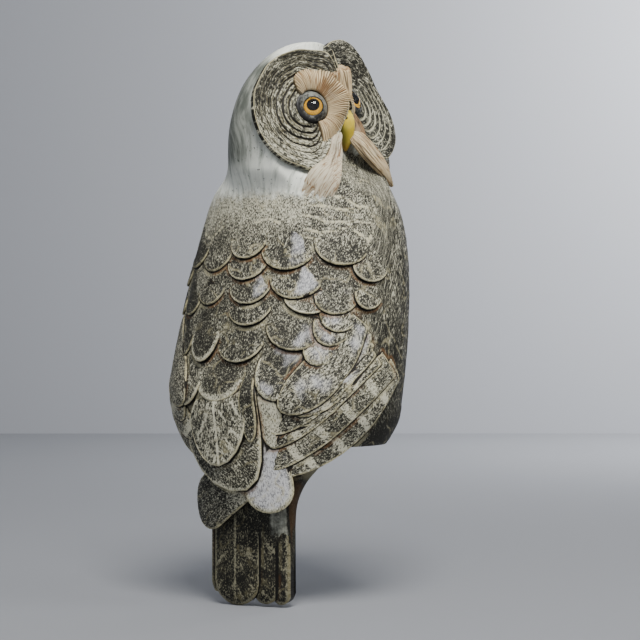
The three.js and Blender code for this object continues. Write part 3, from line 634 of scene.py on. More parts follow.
class Recipe:
    """Adds nodes to a tree, with short calls for the steps between them."""

    def __init__(self, tree):
        self.tree = tree

    def put(self, socket, value):
        if isinstance(value, bpy.types.NodeSocket):
            self.tree.links.new(value, socket)
        elif value is not None:
            socket.default_value = value

    def node(self, kind, inputs=(), **settings):
        made = self.tree.nodes.new(kind)
        for key, value in settings.items():
            setattr(made, key, value)
        for key, value in dict(inputs).items():
            self.put(made.inputs[key], value)
        return made

    def maths(self, operation, a, b=None):
        return self.node("ShaderNodeMath", {0: a, 1: b}, operation=operation).outputs[0]

    def add(self, a, b):
        return self.maths("ADD", a, b)

    def less(self, a, b):
        return self.maths("SUBTRACT", a, b)

    def over(self, a, b):
        return self.maths("DIVIDE", a, b)

    def most(self, a, b):
        return self.maths("MAXIMUM", a, b)

    def size_of(self, a):
        return self.maths("ABSOLUTE", a)

    def fraction(self, a):
        return self.maths("FRACT", a)

    def rest(self, a):
        return self.less(1.0, a)

    def times(self, first, *others):
        for other in others:
            first = self.maths("MULTIPLY", first, other)
        return first

    def shaken(self, value, noise, amount):
        """A value moved up and down by a noise."""
        return self.add(value, self.times(self.less(noise, 0.5), amount))

    def between(self, value, low, high, out_low=0.0, out_high=1.0):
        limits = {"Value": value, "From Min": low, "From Max": high, "To Min": out_low, "To Max": out_high}
        return self.node("ShaderNodeMapRange", limits, interpolation_type="SMOOTHSTEP").outputs["Result"]

    def fall(self, value, low, high):
        return self.between(value, low, high, 1.0, 0.0)

    def within(self, value, rise_from, rise_to, fall_from, fall_to):
        return self.times(self.between(value, rise_from, rise_to), self.fall(value, fall_from, fall_to))

    def mix(self, factor, a, b, blend="MIX"):
        made = self.node("ShaderNodeMix", data_type="RGBA", blend_type=blend)
        self.put(made.inputs["Factor"], factor)
        for key, value in (("A", a), ("B", b)):
            self.put([s for s in made.inputs if s.name == key and s.type == "RGBA"][0], value)
        return [s for s in made.outputs if s.type == "RGBA"][0]

    def coat(self, base, tint, mask, share):
        """A tint over a base, by a mask and a share of it."""
        return self.mix(self.times(mask, share), base, tint)

    def noise(self, vector, scale, detail=2.0, roughness=0.5):
        inputs = {"Vector": vector, "Scale": scale, "Detail": detail, "Roughness": roughness}
        return self.node("ShaderNodeTexNoise", inputs).outputs["Fac"]

    def patchy(self, spot, scale, *limits):
        return self.between(self.noise(spot, scale), *limits)

    def told(self, name):
        """A value that note() wrote on the piece."""
        return self.node("ShaderNodeAttribute", attribute_name=name, attribute_type="GEOMETRY").outputs["Fac"]

    def vector(self, x, y, z=0.0):
        return self.node("ShaderNodeCombineXYZ", {0: x, 1: y, 2: z}).outputs[0]

    def place(self):
        return self.node("ShaderNodeTexCoord").outputs["Object"]


class Glaze(Recipe):
    """A material with one principled shader."""

    def __init__(self, name):
        self.material = bpy.data.materials.new(name)
        self.material.use_nodes = True
        super().__init__(self.material.node_tree)
        self.tree.nodes.clear()
        self.shader = self.node("ShaderNodeBsdfPrincipled")
        end = self.node("ShaderNodeOutputMaterial")
        self.put(end.inputs["Surface"], self.shader.outputs[0])

    def finish(self, base, rough, specular=0.5, bump=None):
        """Feeds the shader. The bump is its strength, its distance in metres and the height."""
        self.put(self.shader.inputs["Base Color"], base)
        self.put(self.shader.inputs["Roughness"], rough)
        self.put(self.shader.inputs["Specular IOR Level"], specular)
        if bump:
            made = self.node("ShaderNodeBump", dict(zip(("Strength", "Distance", "Height"), bump)))
            self.put(self.shader.inputs["Normal"], made.outputs[0])
        return self.material


def colour(red, green, blue):
    return (red, green, blue, 1.0)


def speckle_group():
    """Dark iron grain over a cream glaze. Dark runs from 0, nearly clean, to 1, nearly covered."""
    group = bpy.data.node_groups.new("iron_speckle", "ShaderNodeTree")
    for label, kind, value in (("Vector", "Vector", None), ("Dark", "Float", 0.5),
                               ("Cream", "Color", colour(0.5, 0.48, 0.38)),
                               ("Iron", "Color", colour(0.02, 0.018, 0.012))):
        socket = group.interface.new_socket(label, in_out="INPUT", socket_type="NodeSocket" + kind)
        if value is not None:
            socket.default_value = value
    for label, kind in (("Color", "Color"), ("Height", "Float"), ("Grain", "Float")):
        group.interface.new_socket(label, in_out="OUTPUT", socket_type="NodeSocket" + kind)
    r = Recipe(group)
    given = r.node("NodeGroupInput").outputs
    out = r.node("NodeGroupOutput").inputs
    fine = r.noise(given["Vector"], 1.05, 3, 0.78)
    coarse = r.noise(given["Vector"], 0.3, 2, 0.6)
    level = r.add(r.times(fine, 0.82), r.times(coarse, 0.18))
    level = r.shaken(level, r.noise(given["Vector"], 0.09), 0.1)
    level = r.shaken(level, given["Dark"], 0.25)
    grain = r.between(level, 0.37, 0.63)
    middle = r.mix(0.26, given["Iron"], given["Cream"])
    tinted = r.mix(r.between(level, 0.44, 0.485), given["Cream"], middle)
    r.put(out["Color"], r.mix(r.between(level, 0.5, 0.55), tinted, given["Iron"]))
    r.put(out["Height"], r.rest(grain))
    r.put(out["Grain"], grain)
    return group


def speckle(r, colours, at, dark, cream, iron):
    inputs = {"Vector": at, "Dark": dark, "Cream": cream, "Iron": iron}
    return r.node("ShaderNodeGroup", inputs, node_tree=colours["speckle"]).outputs


def carved_glaze(colours):
    """Glaze of the body and the feathers: speckle, cream rims, stain and painted shade in the cuts, grey
    bloom, pale neck, and painted shade on the neck's left, the rump and the tail.
    """
    r = Glaze("carved_speckled_glaze")
    spot = r.place()
    wander, broad = r.noise(spot, 260), r.noise(spot, 34)
    across, along, shade = r.told("across"), r.told("along"), r.told("shade")
    edge, recess, neck = r.told("edge"), r.told("recess"), r.told("neck")
    grain_at = r.vector(r.shaken(across, r.noise(spot, 95, 1), 4), r.times(along, 0.5), r.told("seed"))

    # Dark bars with pale gaps on the long feathers
    period = r.told("period")
    saw = r.fraction(r.shaken(r.over(along, r.most(period, 1)), wander, 0.12))
    gap = r.times(r.within(saw, 0.7, 0.77, 0.93, 1), r.between(period, 1, 2),
                  r.patchy(spot, 180, 0.3, 0.55, 0.35, 0.75))

    # Pale V-shaped patches on both sides of a shaft, and the shaft
    shaft = r.size_of(r.shaken(r.told("shaft"), wander, 1.5))
    vee = r.told("vee")
    slant = r.over(r.add(along, r.times(shaft, -1.5)), r.most(vee, 1))
    slant = r.fraction(r.shaken(r.shaken(slant, broad, 1.3), wander, 0.3))
    patches = r.times(r.within(slant, 0.6, 0.68, 0.76, 0.9), r.patchy(spot, 75, 0.42, 0.55),
                      r.between(vee, 1, 2), 0.8)
    quill = r.most(r.times(r.fall(shaft, 0.6, 1.4), r.told("quill")), patches)

    # Painted lines, and pale bands inside the rims
    painted = r.fall(r.add(r.told("pale"), r.times(wander, 2)), 1.1, 2.6)
    painted = r.times(painted, r.patchy(spot, 110, 0.36, 0.56, 0.3, 1))
    band = r.told("band")
    border = r.over(r.add(edge, r.times(wander, 1.6)), r.most(band, 0.5))
    border = r.times(r.fall(border, 0.8, 1.7), r.between(band, 0.5, 1, 0, 0.8))
    light = r.most(r.most(gap, quill), r.most(painted, border))
    dark = r.less(r.shaken(r.told("tone"), broad, 0.45), r.times(light, 0.55))
    grains = speckle(r, colours, grain_at, dark, colours["cream"], colours["iron"])

    # Lavender-grey bloom, finer and paler than the speckle
    bloom = r.between(r.shaken(r.told("grey"), r.noise(spot, 48), 1.6), 0.35, 0.75)
    bloom = r.times(bloom, r.between(edge, 1.5, 5), r.rest(light))
    soft_grains = speckle(r, colours, grain_at, 0.32, colours["lavender"], colour(0.17, 0.17, 0.18))
    base = r.coat(grains["Color"], soft_grains["Color"], bloom, 0.95)

    # Smooth celadon neck with faint streaks and a few specks, and painted shade with more dark streaks down
    # its left side
    streak = r.noise(r.vector(across, r.times(along, 0.12)), 0.28, 3, 0.6)
    celadon = r.mix(r.between(streak, 0.45, 0.75), colours["celadon"], colour(0.4, 0.43, 0.37))
    dark_streak = r.noise(r.vector(across, r.times(along, 0.2), 7), 0.5, 3, 0.7)
    dark_streak = r.times(r.between(dark_streak, 0.55, 0.7),
                          r.between(r.add(broad, r.times(shade, 0.25)), 0.48, 0.66))
    celadon = r.coat(celadon, colour(0.09, 0.1, 0.08), dark_streak, 0.75)
    celadon = r.coat(celadon, colours["iron"], r.between(r.noise(spot, 420, 1), 0.71, 0.77), 0.8)
    # Painted shade down the neck's left side
    celadon = r.coat(celadon, colour(0.1, 0.11, 0.092), shade, r.between(streak, 0.35, 0.6, 0.75, 1))
    neck_edge = r.shaken(neck, r.noise(spot, 120, 3, 0.7), 1.3)
    base = r.mix(r.between(neck_edge, 0.2, 0.8), base, celadon)
    base = r.coat(base, colours["rim"], painted, 0.75)

    # Cream rim, worn in places, and thin pale veins that wander over the glaze
    rim = r.times(r.fall(edge, 0.6, 1.9), r.between(wander, 0.34, 0.55, 0.3, 1),
                  r.patchy(spot, 800, 0.36, 0.5, 0.45, 1))
    base = r.coat(base, colours["rim"], rim, 0.8)
    vein = r.fall(r.size_of(r.less(r.noise(spot, 42, 1), 0.5)), 0.004, 0.03)
    vein = r.times(vein, r.between(broad, 0.4, 0.56), r.between(wander, 0.35, 0.6), r.rest(neck))
    base = r.coat(base, colours["rim"], vein, 0.4)

    # Dark stain and painted shade in the cuts and on the walls under the rims, with rust and cream beside it
    # in places
    cut = r.shaken(recess, wander, 1.2)
    base = r.coat(base, colours["rust"], r.times(r.fall(cut, 1.8, 4), r.between(broad, 0.46, 0.62)), 0.5)
    base = r.coat(base, colours["rim"], r.times(r.fall(cut, 3.2, 4.4), r.between(broad, 0.5, 0.36)), 0.4)
    stain_and_shade = r.times(r.fall(cut, 0.5, 1.7), r.rest(r.times(neck, 0.8)))
    base = r.mix(r.most(stain_and_shade, r.fall(edge, -1.4, -0.3)), base, colours["cut"])
    # Painted shade: the rump under the seat and the hanging tail are darkened
    base = r.mix(r.told("dim"), base, r.mix(1.0, base, colour(0.3, 0.29, 0.24), "MULTIPLY"))
    height = r.mix(r.between(neck_edge, 0.3, 0.75), grains["Height"], colour(0.5, 0.5, 0.5))
    return r.finish(base, r.between(grains["Grain"], 0, 1, 0.46, 0.66), 0.28, (0.35, 0.0005, height))


def disc_glaze(colours):
    """Glaze of the face discs: fine dashes along the cut rings, dark grooves with stain and painted shadow, a
    pale rim, and painted shade on the back.
    """
    r = Glaze("face_disc_glaze")
    spot = r.place()
    wander = r.noise(spot, 300)
    grain_at = r.vector(r.told("across"), r.times(r.told("along"), 0.3), 3)
    dark = r.shaken(r.told("tone"), r.noise(spot, 90), 0.9)
    grains = speckle(r, colours, grain_at, dark, colours["cream"], colours["iron"])
    recess, cut_depth, ring = r.told("recess"), r.told("cut_depth"), r.told("ring")
    cut = r.shaken(recess, wander, 1)
    broken = r.patchy(spot, 130, 0.38, 0.55)
    ridge = r.times(r.between(cut, 0.9, 1.4), r.fall(recess, 1.5, 2.2), broken, cut_depth)
    fine_line = r.fraction(r.add(r.times(ring, 2), r.times(wander, 0.3)))
    fine_line = r.times(r.within(fine_line, 0.3, 0.42, 0.5, 0.62), r.patchy(spot, 170, 0.46, 0.58), cut_depth)
    base = r.coat(grains["Color"], colours["rim"], r.most(ridge, fine_line), 0.4)
    dark_line = r.fraction(r.add(r.times(ring, 3), r.times(wander, 0.4)))
    dark_line = r.times(r.within(dark_line, 0.7, 0.8, 0.86, 0.96), r.patchy(spot, 210, 0.44, 0.54))
    base = r.coat(base, colours["iron"], dark_line, r.between(cut_depth, 0, 0.25, 0, 0.7))
    # Dark in the grooves: stain and painted shadow together, broken in places
    line = r.fall(cut, 0.4, 1.1)
    base = r.coat(base, colour(0.44, 0.42, 0.3), line, r.told("pale"))
    worn = r.most(broken, r.between(cut_depth, 0.55, 0.9))
    base = r.coat(base, colours["cut"], r.times(line, cut_depth), worn)
    base = r.coat(base, colours["rim"], r.fall(r.told("edge"), 0.3, 1.6), 0.8)
    # Painted shade on the back and the wall of the disc
    base = r.mix(r.told("shade"), base, colours["cut"])
    return r.finish(base, r.between(grains["Grain"], 0, 1, 0.45, 0.62), 0.26, (0.4, 0.0005, grains["Height"]))


def fibre_glaze(colours, name, pale, brown, brown_share):
    """Tan and cream clay combed into fine fibres, with brown in the combed lines."""
    r = Glaze(name)
    across, along = r.told("across"), r.times(r.told("along"), 0.1)
    lines = r.noise(r.vector(across, along, 1), 1.1, 2, 0.6)
    broad = r.noise(r.vector(across, along, 5), 0.28)
    mask = r.add(r.times(lines, 0.7), r.times(broad, 0.3))
    mask = r.add(mask, r.times(r.told("tone"), brown_share))
    base = r.mix(r.between(mask, 0.5, 0.68), pale, brown)
    base = r.coat(base, colour(0.07, 0.04, 0.015), r.fall(r.told("recess"), 0.1, 0.85), 0.92)
    base = r.coat(base, colours["cream"], r.patchy(r.place(), 70, 0.5, 0.7), 0.25)
    return r.finish(base, r.between(lines, 0.3, 0.7, 0.62, 0.78), bump=(0.5, 0.0004, lines))


def beak_glaze():
    """Thick yellow glaze, olive down one side and ochre at the tip."""
    r = Glaze("yellow_beak_glaze")
    spot = r.place()
    cloud = r.noise(spot, 90, 3)
    base = r.mix(r.between(cloud, 0.35, 0.65), colour(0.58, 0.42, 0.03), colour(0.7, 0.54, 0.07))
    base = r.coat(base, colour(0.2, 0.19, 0.03), r.told("tone"), 0.8)
    base = r.coat(base, colour(0.4, 0.19, 0.025), r.told("shade"), 0.75)
    base = r.mix(r.fall(r.told("recess"), 0.7, 1.5), base, colour(0.02, 0.015, 0.01))
    return r.finish(base, r.between(cloud, 0.3, 0.7, 0.3, 0.44), 0.35, (0.15, 0.0004, r.noise(spot, 300)))


def lid_glaze():
    """Grey-black lids round the eyes, with painted shadow and painted sheen."""
    r = Glaze("dark_lid_glaze")
    mottled = r.noise(r.place(), 420, 3, 0.6)
    # tone lightens the mottle as painted sheen
    lighter = r.add(mottled, r.times(r.told("tone"), 0.2))
    base = r.mix(r.between(lighter, 0.46, 0.72), colour(0.022, 0.022, 0.021), colour(0.19, 0.195, 0.17))
    # shade darkens it as painted shadow
    base = r.mix(r.told("shade"), base, colour(0.009, 0.009, 0.01))
    return r.finish(base, r.between(mottled, 0.3, 0.7, 0.4, 0.6), 0.25, (0.2, 0.0003, mottled))


def iris_paint():
    """Painted iris behind the glass: orange-yellow with fine spokes and a black pupil."""
    r = Glaze("painted_iris")
    out = r.told("along")
    spokes = r.noise(r.vector(r.told("across"), r.times(out, 0.15)), 2.2)
    base = r.mix(r.between(spokes, 0.4, 0.7), colour(0.9, 0.52, 0.06), colour(0.7, 0.34, 0.02))
    base = r.mix(r.between(out, 7, 7.5), base, colour(0.12, 0.05, 0.006))
    base = r.mix(r.fall(r.told("recess"), -0.1, 0.15), base, colour(0.004, 0.004, 0.005))
    return r.finish(base, r.between(spokes, 0, 1, 0.5, 0.65), 0.1)


def eye_glass():
    r = Glaze("clear_eye_glass")
    r.put(r.shader.inputs["Transmission Weight"], 1.0)
    r.put(r.shader.inputs["IOR"], 1.42)
    return r.finish(colour(1, 1, 1), r.between(r.noise(r.place(), 900), 0.3, 0.7, 0, 0.02))


def plain_stage(name, tint, rough):
    r = Glaze(name)
    darker = tuple(c * 0.96 for c in tint[:3]) + (1.0,)
    return r.finish(r.mix(r.noise(r.place(), 2), tint, darker), rough)


# Settings that a user would change

class OwlSizes(bpy.types.PropertyGroup):
    body_sides: bpy.props.IntProperty(name="Body sides", description="Faces round the body",
                                      default=224, min=32)
    body_rings: bpy.props.IntProperty(name="Body rings", description="Rings from the rump to the crown",
                                      default=200, min=60)
    feather_across: bpy.props.IntProperty(name="Feather faces across", description="Faces across a feather",
                                          default=14, min=4)
    feather_along: bpy.props.IntProperty(name="Feather faces along", description="Faces along a feather",
                                         default=18, min=4)
    ring_depth: bpy.props.FloatProperty(name="Ring depth", description="Depth of the rings cut in the discs",
                                        default=0.0014, unit="LENGTH")
    pupil_radius: bpy.props.FloatProperty(name="Pupil radius", description="Radius of the painted pupil",
                                          default=0.0048, unit="LENGTH")


class OwlColours(bpy.types.PropertyGroup):
    cream: bpy.props.FloatVectorProperty(name="Cream", description="Pale glaze between the grain",
                                         default=(0.56, 0.54, 0.41), subtype="COLOR", size=3)
    iron: bpy.props.FloatVectorProperty(name="Iron", description="Dark grain", default=(0.014, 0.013, 0.009),
                                        subtype="COLOR", size=3)
    celadon: bpy.props.FloatVectorProperty(name="Celadon", description="Smooth glaze of neck and crown",
                                           default=(0.82, 0.84, 0.75), subtype="COLOR", size=3)
    lavender: bpy.props.FloatVectorProperty(name="Lavender grey", description="Bloom on some feathers",
                                            default=(0.54, 0.54, 0.545), subtype="COLOR", size=3)
    rust: bpy.props.FloatVectorProperty(name="Rust", description="Stain beside the cuts",
                                        default=(0.2, 0.1, 0.035), subtype="COLOR", size=3)


def sizes():
    return bpy.context.scene.owl_sizes


def palette():
    """Colours and the shared speckle effect, made once."""
    chosen = bpy.context.scene.owl_colours
    group = bpy.data.node_groups.get("iron_speckle") or speckle_group()
    # cut is the dark in the cuts: stain and painted shade together
    return dict(speckle=group, cream=(*chosen.cream, 1.0), iron=(*chosen.iron, 1.0),
                celadon=(*chosen.celadon, 1.0), lavender=(*chosen.lavender, 1.0), rust=(*chosen.rust, 1.0),
                rim=colour(0.52, 0.47, 0.28), cut=colour(0.011, 0.009, 0.006))


def shared(name, make):
    return bpy.data.materials.get(name) or make()


def glaze_for_body():
    return shared("carved_speckled_glaze", lambda: carved_glaze(palette()))


FIGURE = "owl_figure"


# Body

SEAT_STEPS = 8                   # rings over the flat seat, from the rump out to the body
SHARE_OF_RUMP = 0.2              # share of the rings that lie below the seat
SHARE_OF_TRUNK = 0.6             # share of the rest that lies below the dome of the head
DOME_Z = 232
FOOT = [0, 46, -120]             # lowest point of the rump
CARVED_TO = 170                  # height over which no feather leaves a dark cut on the skin
UNDER_EDGE = 2.4                 # distance from a cut that the glaze is told at the rump's right edge


def body_levels(count):
    """The body's rings from the rump's foot up to the crown: which part each is on, and its height."""
    rump = [("rump", z) for z in np.linspace(-118, 0, int(count * SHARE_OF_RUMP))]
    seat = [("seat", share) for share in np.linspace(0, 1, SEAT_STEPS)[1:-1]]
    left = count - 1 - len(rump) - len(seat)
    lower = int(left * SHARE_OF_TRUNK)
    trunk = [("body", z) for z in np.linspace(0, DOME_Z, lower)]
    turn = (np.arange(1, left - lower + 1) / (left - lower + 1)) ** 0.97 * (math.pi / 2)
    return rump + seat + trunk + [("body", z) for z in DOME_Z + (CROWN_Z - DOME_Z) * np.sin(turn)]


def rump_outline(angle, z):
    c, s = np.cos(angle), np.sin(angle)
    reach = np.where(c > 0, value_at(RUMP, z, 1), value_at(RUMP, z, 2))
    inner, outer = value_at(RUMP, z, 3), value_at(RUMP, z, 4)
    return rows(np.sign(c) * reach * np.abs(c) ** RUMP_SQUARENESS,
                (inner + outer) / 2 + (outer - inner) / 2 * np.sign(s) * np.abs(s) ** RUMP_SQUARENESS, z)


def smooth_body(start, ring, ring_count):
    """Points of the uncarved body, and which of them lie above the seat."""
    angle = np.arctan2(start[:, 1], start[:, 0])
    points = np.zeros_like(start)
    on_body = np.zeros(len(start), bool)
    for index, (part, value) in enumerate(body_levels(ring_count), start=1):
        here = ring == index
        if part == "rump":
            points[here] = rump_outline(angle[here], value)
        elif part == "seat":
            rim = round_axis(trunk_radius(angle[here], 0.0), angle[here], 0.0)
            points[here] = rump_outline(angle[here], 0.0) * (1 - value) + rim * value
        else:
            points[here] = round_axis(body_radius(angle[here], value), angle[here], value)
            on_body |= here
    points[ring == 0] = FOOT
    points[ring == ring_count] = [*map(float, axis_point(CROWN_Z)), CROWN_Z]
    return angle, points, on_body


# Pale lines drawn on the smooth upper back and throat, each a row of points: side and height.
PAINTED_LINES = [
    [(-63, 199), (-71, 197), (-82, 191), (-99, 189)],
    [(-39, 192), (-52, 191), (-64, 189), (-80, 186)],
    [(-36, 184), (-51, 181), (-61, 177), (-72, 178), (-80, 179)],
    [(-78, 175), (-71, 172), (-62, 170), (-55, 169)],
    [(-81, 172), (-87, 168), (-94, 165)],
    [(-83, 179), (-97, 177), (-99, 173), (-97, 164), (-94, 158)],
    [(-42, 172), (-53, 170), (-55, 167), (-54, 160)],
    [(-20, 163), (-28, 165), (-35, 165), (-40, 167), (-49, 165), (-54, 164)],
    [(-23, 161), (-19, 155), (-7, 151)],
    [(4, 178), (-8, 181), (-20, 177)],
    [(27, 164), (15, 159), (-2, 161)],
    [(40, 176), (56, 166), (74, 172)],
    [(78, 178), (94, 168), (110, 174)],
]


def pale_lines(here):
    """Distance to the nearest painted line."""
    nearest = np.full(len(here), FAR)
    for line in PAINTED_LINES:
        for start, end in zip(np.array(line[:-1], float), np.array(line[1:], float)):
            along = np.clip((here - start) @ (end - start) / ((end - start) @ (end - start)), 0, 1)
            gap = np.linalg.norm(here - start - along[:, None] * (end - start), axis=1)
            nearest = np.minimum(nearest, gap)
    return nearest


# What the glaze of the body and the feathers is told where a piece says nothing else.
BARE = dict(edge=FAR, recess=FAR, shaft=FAR, pale=FAR, seed=0, quill=0, vee=0, period=0, grey=0, band=0,
            neck=0, shade=0, dim=0)


class OWL_OT_body(bpy.types.Operator):
    """Shapes the body, neck, head and rump in one closed piece"""
    bl_idname = "owl.body"
    bl_label = "Body and head"

    def execute(self, context):
        count = sizes().body_rings
        piece = ball_blank("body_and_head", sizes().body_sides, count)
        start = corners_of(piece)
        ring = np.rint((0.5 + np.arcsin(np.clip(start[:, 2], -1, 1)) / math.pi) * count).astype(int)
        angle, points, on_body = smooth_body(start, ring, count)
        z = points[:, 2]
        turned = (BACK_MIDDLE - angle + math.pi) % (2 * math.pi) - math.pi
        side, degrees = turned * girth_at(z), np.degrees(turned)
        flank = smoothstep(np.abs(side), 96, 122)

        # Fine carved ridges round the flanks and breast, and an uneven hand-built surface
        ridges = noise_at(3, side / 3.6, z / 26, 0) + 0.6 * noise_at(4, side / 1.9 + 9, z / 16, 1)
        carved = flank * within(z, 6, 30, 175, 205)
        uneven = soft_noise(points / 24, 5) * 0.5 * smoothstep(z, 4, 20)
        depth = np.where(on_body, -np.abs(ridges) * 0.9 * carved + uneven, 0)
        flat = rows(side, z)
        covered = np.where(on_body, covered_by(flat, np.zeros(len(z)), ALL_FEATHERS), FAR)
        lines = np.where(on_body, pale_lines(flat), FAR)
        points += unit(rows(np.cos(angle), np.sin(angle), 0.0)) * depth[:, None]
        shape(piece, points)

        # The pale neck ends lower on the back than over the throat and the shoulder
        speckled_to = 205 + 40 * smoothstep(-degrees, 40, 62) + 40 * smoothstep(degrees, 95, 130)
        neck = smoothstep(z - speckled_to, -22, 14)
        haze = (smoothstep(z, 162, 206) * (1 - smoothstep(-degrees, 26, 52))
                * (1 - smoothstep(degrees, 90, 150)))
        # Painted shade down the left of the neck and the head, the side away from the light
        shade = within(degrees, -6, 20, 50, 120) * within(z, 212, 236, 304, 324)

        # The rump has a pale strip beside the tail and rust along its right edge
        x, below = points[:, 0], -z
        strip = within(-x, 17, 23, 33, 36) * smoothstep(below, 6, 20)
        neck = np.maximum(neck, 0.5 * strip * (1 - smoothstep(below, 62, 84)) * (points[:, 1] > 40))
        covered = np.where((x < -35.5) & (z < -5), UNDER_EDGE, covered)
        # The speckle is darker low on the flanks and towards the seat, and paler up the back and in the haze;
        # below the seat the glaze is darkened as painted shade
        tone = (0.64 + 0.06 * flank + 0.12 * flank * (1 - smoothstep(z, 30, 130))
                + 0.2 * smoothstep(below, -40, 0) - 0.1 * smoothstep(z, 150, 200) - 0.22 * haze)
        note(piece, **dict(BARE, across=side, along=z * (1 - 0.55 * flank), pale=lines, neck=neck, tone=tone,
                           recess=np.where(z > CARVED_TO, FAR, covered), shade=shade,
                           dim=0.75 * smoothstep(below, -4, 40)))
        finish_piece(piece, glaze_for_body(), FIGURE)
        return {"FINISHED"}


# Feathers

RIM_INSET = (0.7, 0.0, 0.3, 1.2)      # how far each step of a feather's edge is drawn in
RIM_DROP = (0.0, 0.6, 1.7)            # how far each step lies below the top
RIM_EDGE = (0.7, 0.0, -1.2, -4.0)     # what the glaze is told about each step
TAIL_INSET = (0.8, 0.0, 0.2, 1.0)
TAIL_DROP = (0.0, 0.8, 2.4)
UNDERSIDE = 3                         # last step of a plate
LEAST_PLATE = 0.8                     # least thickness under the lowest step of the rim
CLOSER_FACES = 0.12                   # how much closer the faces of a plate lie near its edge


def plate_of(blank, name):
    """A copy of a plate blank: its corners, the step each is on, and which lie on the border."""
    piece = copy_of(blank, name)
    start = corners_of(piece)
    step = np.rint(-start[:, 2]).astype(int)
    return piece, start, step, (np.abs(start[:, 0]) > 0.999) | (np.abs(start[:, 1]) > 0.999)


def tell_plate(piece, feather, flat, lift, step, border, others, **told):
    """Tells the glaze where a plate's edges are, and what lies over it."""
    edge, _ = outline_distance(flat, feather.outline()[0])
    edge = np.where(border, np.array(RIM_EDGE)[step], np.where(step == 0, np.maximum(-edge, 0.7), -4))
    recess = np.where(step < UNDERSIDE, covered_by(flat, lift, others, skip=feather), FAR)
    note(piece, **dict(BARE, edge=edge, recess=recess, **told))


def feather_piece(blank, feather, name, number):
    """One feather: the plate blank laid on the back."""
    piece, start, step, border = plate_of(blank, name)
    u, v = (start[:, 0] + 1) / 2, (start[:, 1] + 1) / 2
    u = u - CLOSER_FACES * np.sin(2 * math.pi * u) / (2 * math.pi) * 3
    v = v + CLOSER_FACES * np.sin(math.pi * v) * v
    a, s = feather.patch(u, v)
    centre_s = np.minimum(s, feather.wide + 0.2 * (1 - feather.wide))
    inward = unit(rows(-a, (centre_s - s) * feather.length))
    inset = np.array(RIM_INSET)[step] * border
    flat = feather.plane(a + inward[:, 0] * inset, s + inward[:, 1] * inset / feather.length)
    waves = noise_at(11, flat[:, 0] / 11, flat[:, 1] / 11, number * 1.7)
    lift = feather.lift(a, s) + 0.35 * waves * (1 - border)
    heights = lift - 0.35 * border * smoothstep(-start[:, 1], -1, -0.8)
    for lower in (1, 2):
        heights = np.where(step == lower, lift - RIM_DROP[lower], heights)
    lowest = np.minimum(-feather.depth, lift - RIM_DROP[2] - LEAST_PLATE)
    heights = np.where(step == UNDERSIDE, lowest, heights)
    shape(piece, clear_of_ledge(drape(flat[:, 0], flat[:, 1], heights)))
    pale_half = smoothstep(feather.half * a, -1.5, 2.5) if feather.half < 0 else 1.0
    pale_root = 1 - smoothstep(s, 0.5, 0.66) if feather.half > 0 else 0.0
    tell_plate(piece, feather, flat, np.where(step == 0, lift, lift - 0.5), step, border, ALL_FEATHERS,
               across=a, along=s * feather.length, seed=number * 7.3, shaft=a, quill=feather.quill,
               vee=feather.vee, period=feather.period, grey=feather.grey * pale_half,
               tone=feather.tone - 0.5 * pale_root, band=feather.band)
    return piece


class OWL_OT_feathers(bpy.types.Operator):
    """Lays the round feathers of the back, the long ones of both wings and the crossed wing tips"""
    bl_idname = "owl.feathers"
    bl_label = "Feathers"

    def execute(self, context):
        for name, (first, feathers) in FLOCKS.items():
            blank = plate_blank(name + "_blank", sizes().feather_across, sizes().feather_along, UNDERSIDE)
            pieces = [feather_piece(blank, feather, name, first + k) for k, feather in enumerate(feathers)]
            bpy.data.objects.remove(blank)
            finish_piece(joined(pieces, name), glaze_for_body(), FIGURE, angle=50)
        return {"FINISHED"}


def tail_feather(middle, width, bottom, outer):
    wide = 1 - width / 2 / (TAIL_TOP - bottom)
    return Feather((middle, TAIL_TOP), (middle, bottom), width, rise=(outer, outer), base=1.0, wide=wide)


class OWL_OT_tail(bpy.types.Operator):
    """Makes the hanging tail feathers"""
    bl_idname = "owl.tail"
    bl_label = "Tail"

    def execute(self, context):
        blank = plate_blank("tail_blank", sizes().feather_across, sizes().feather_along * 2, UNDERSIDE)
        feathers = [tail_feather(*row[:4]) for row in TAIL]
        pieces = []
        for number, feather in enumerate(feathers):
            piece, start, step, border = plate_of(blank, "tail")
            a, s = feather.patch((start[:, 0] + 1) / 2, (start[:, 1] + 1) / 2)
            flat = feather.plane(a, s)
            q = a / (feather.width / 2)
            outer, depth = feather.rise[0], TAIL[number][4]
            crown = outer - 3.2 * np.abs(q) ** 2.5 - 2.5 * smoothstep(s, 0.9, 1.0)
            ridge = 0.9 * np.exp(-(a / 1.6) ** 2) * (feather.width > 20)
            y = np.where(step == 0, crown + ridge, outer - depth)
            for lower in (1, 2):
                y = np.where(step == lower, crown - TAIL_DROP[lower], y)
            inset = np.array(TAIL_INSET)[step] * border
            x = flat[:, 0] - np.sign(a) * inset * np.minimum(1, np.abs(q) * 1.2)
            shape(piece, rows(x, y, flat[:, 1] + inset * smoothstep(s, feather.wide, 1.0)))
            # The tail's glaze is darkened as painted shade
            tell_plate(piece, feather, flat, np.full(len(a), outer), step, border, feathers, across=a,
                       along=s * feather.length, seed=number * 5.1 + 50, shaft=a, quill=0.8 * (number < 2),
                       vee=24.0, tone=0.72, band=2.6, dim=0.88)
            pieces.append(piece)
        bpy.data.objects.remove(blank)
        finish_piece(joined(pieces, "tail_feathers"), glaze_for_body(), FIGURE, angle=50)
        return {"FINISHED"}


# Face

RIDGE_HEIGHT = 9.0               # how far the discs rise to the ridge between them
DISC_FRONT = 0.78                # share of the ball that makes a disc's front
RING_WIDTH = 0.95
RIM_WAVE = 0.5
RING_WAVE = 0.012                # share of the radius that the rings wander


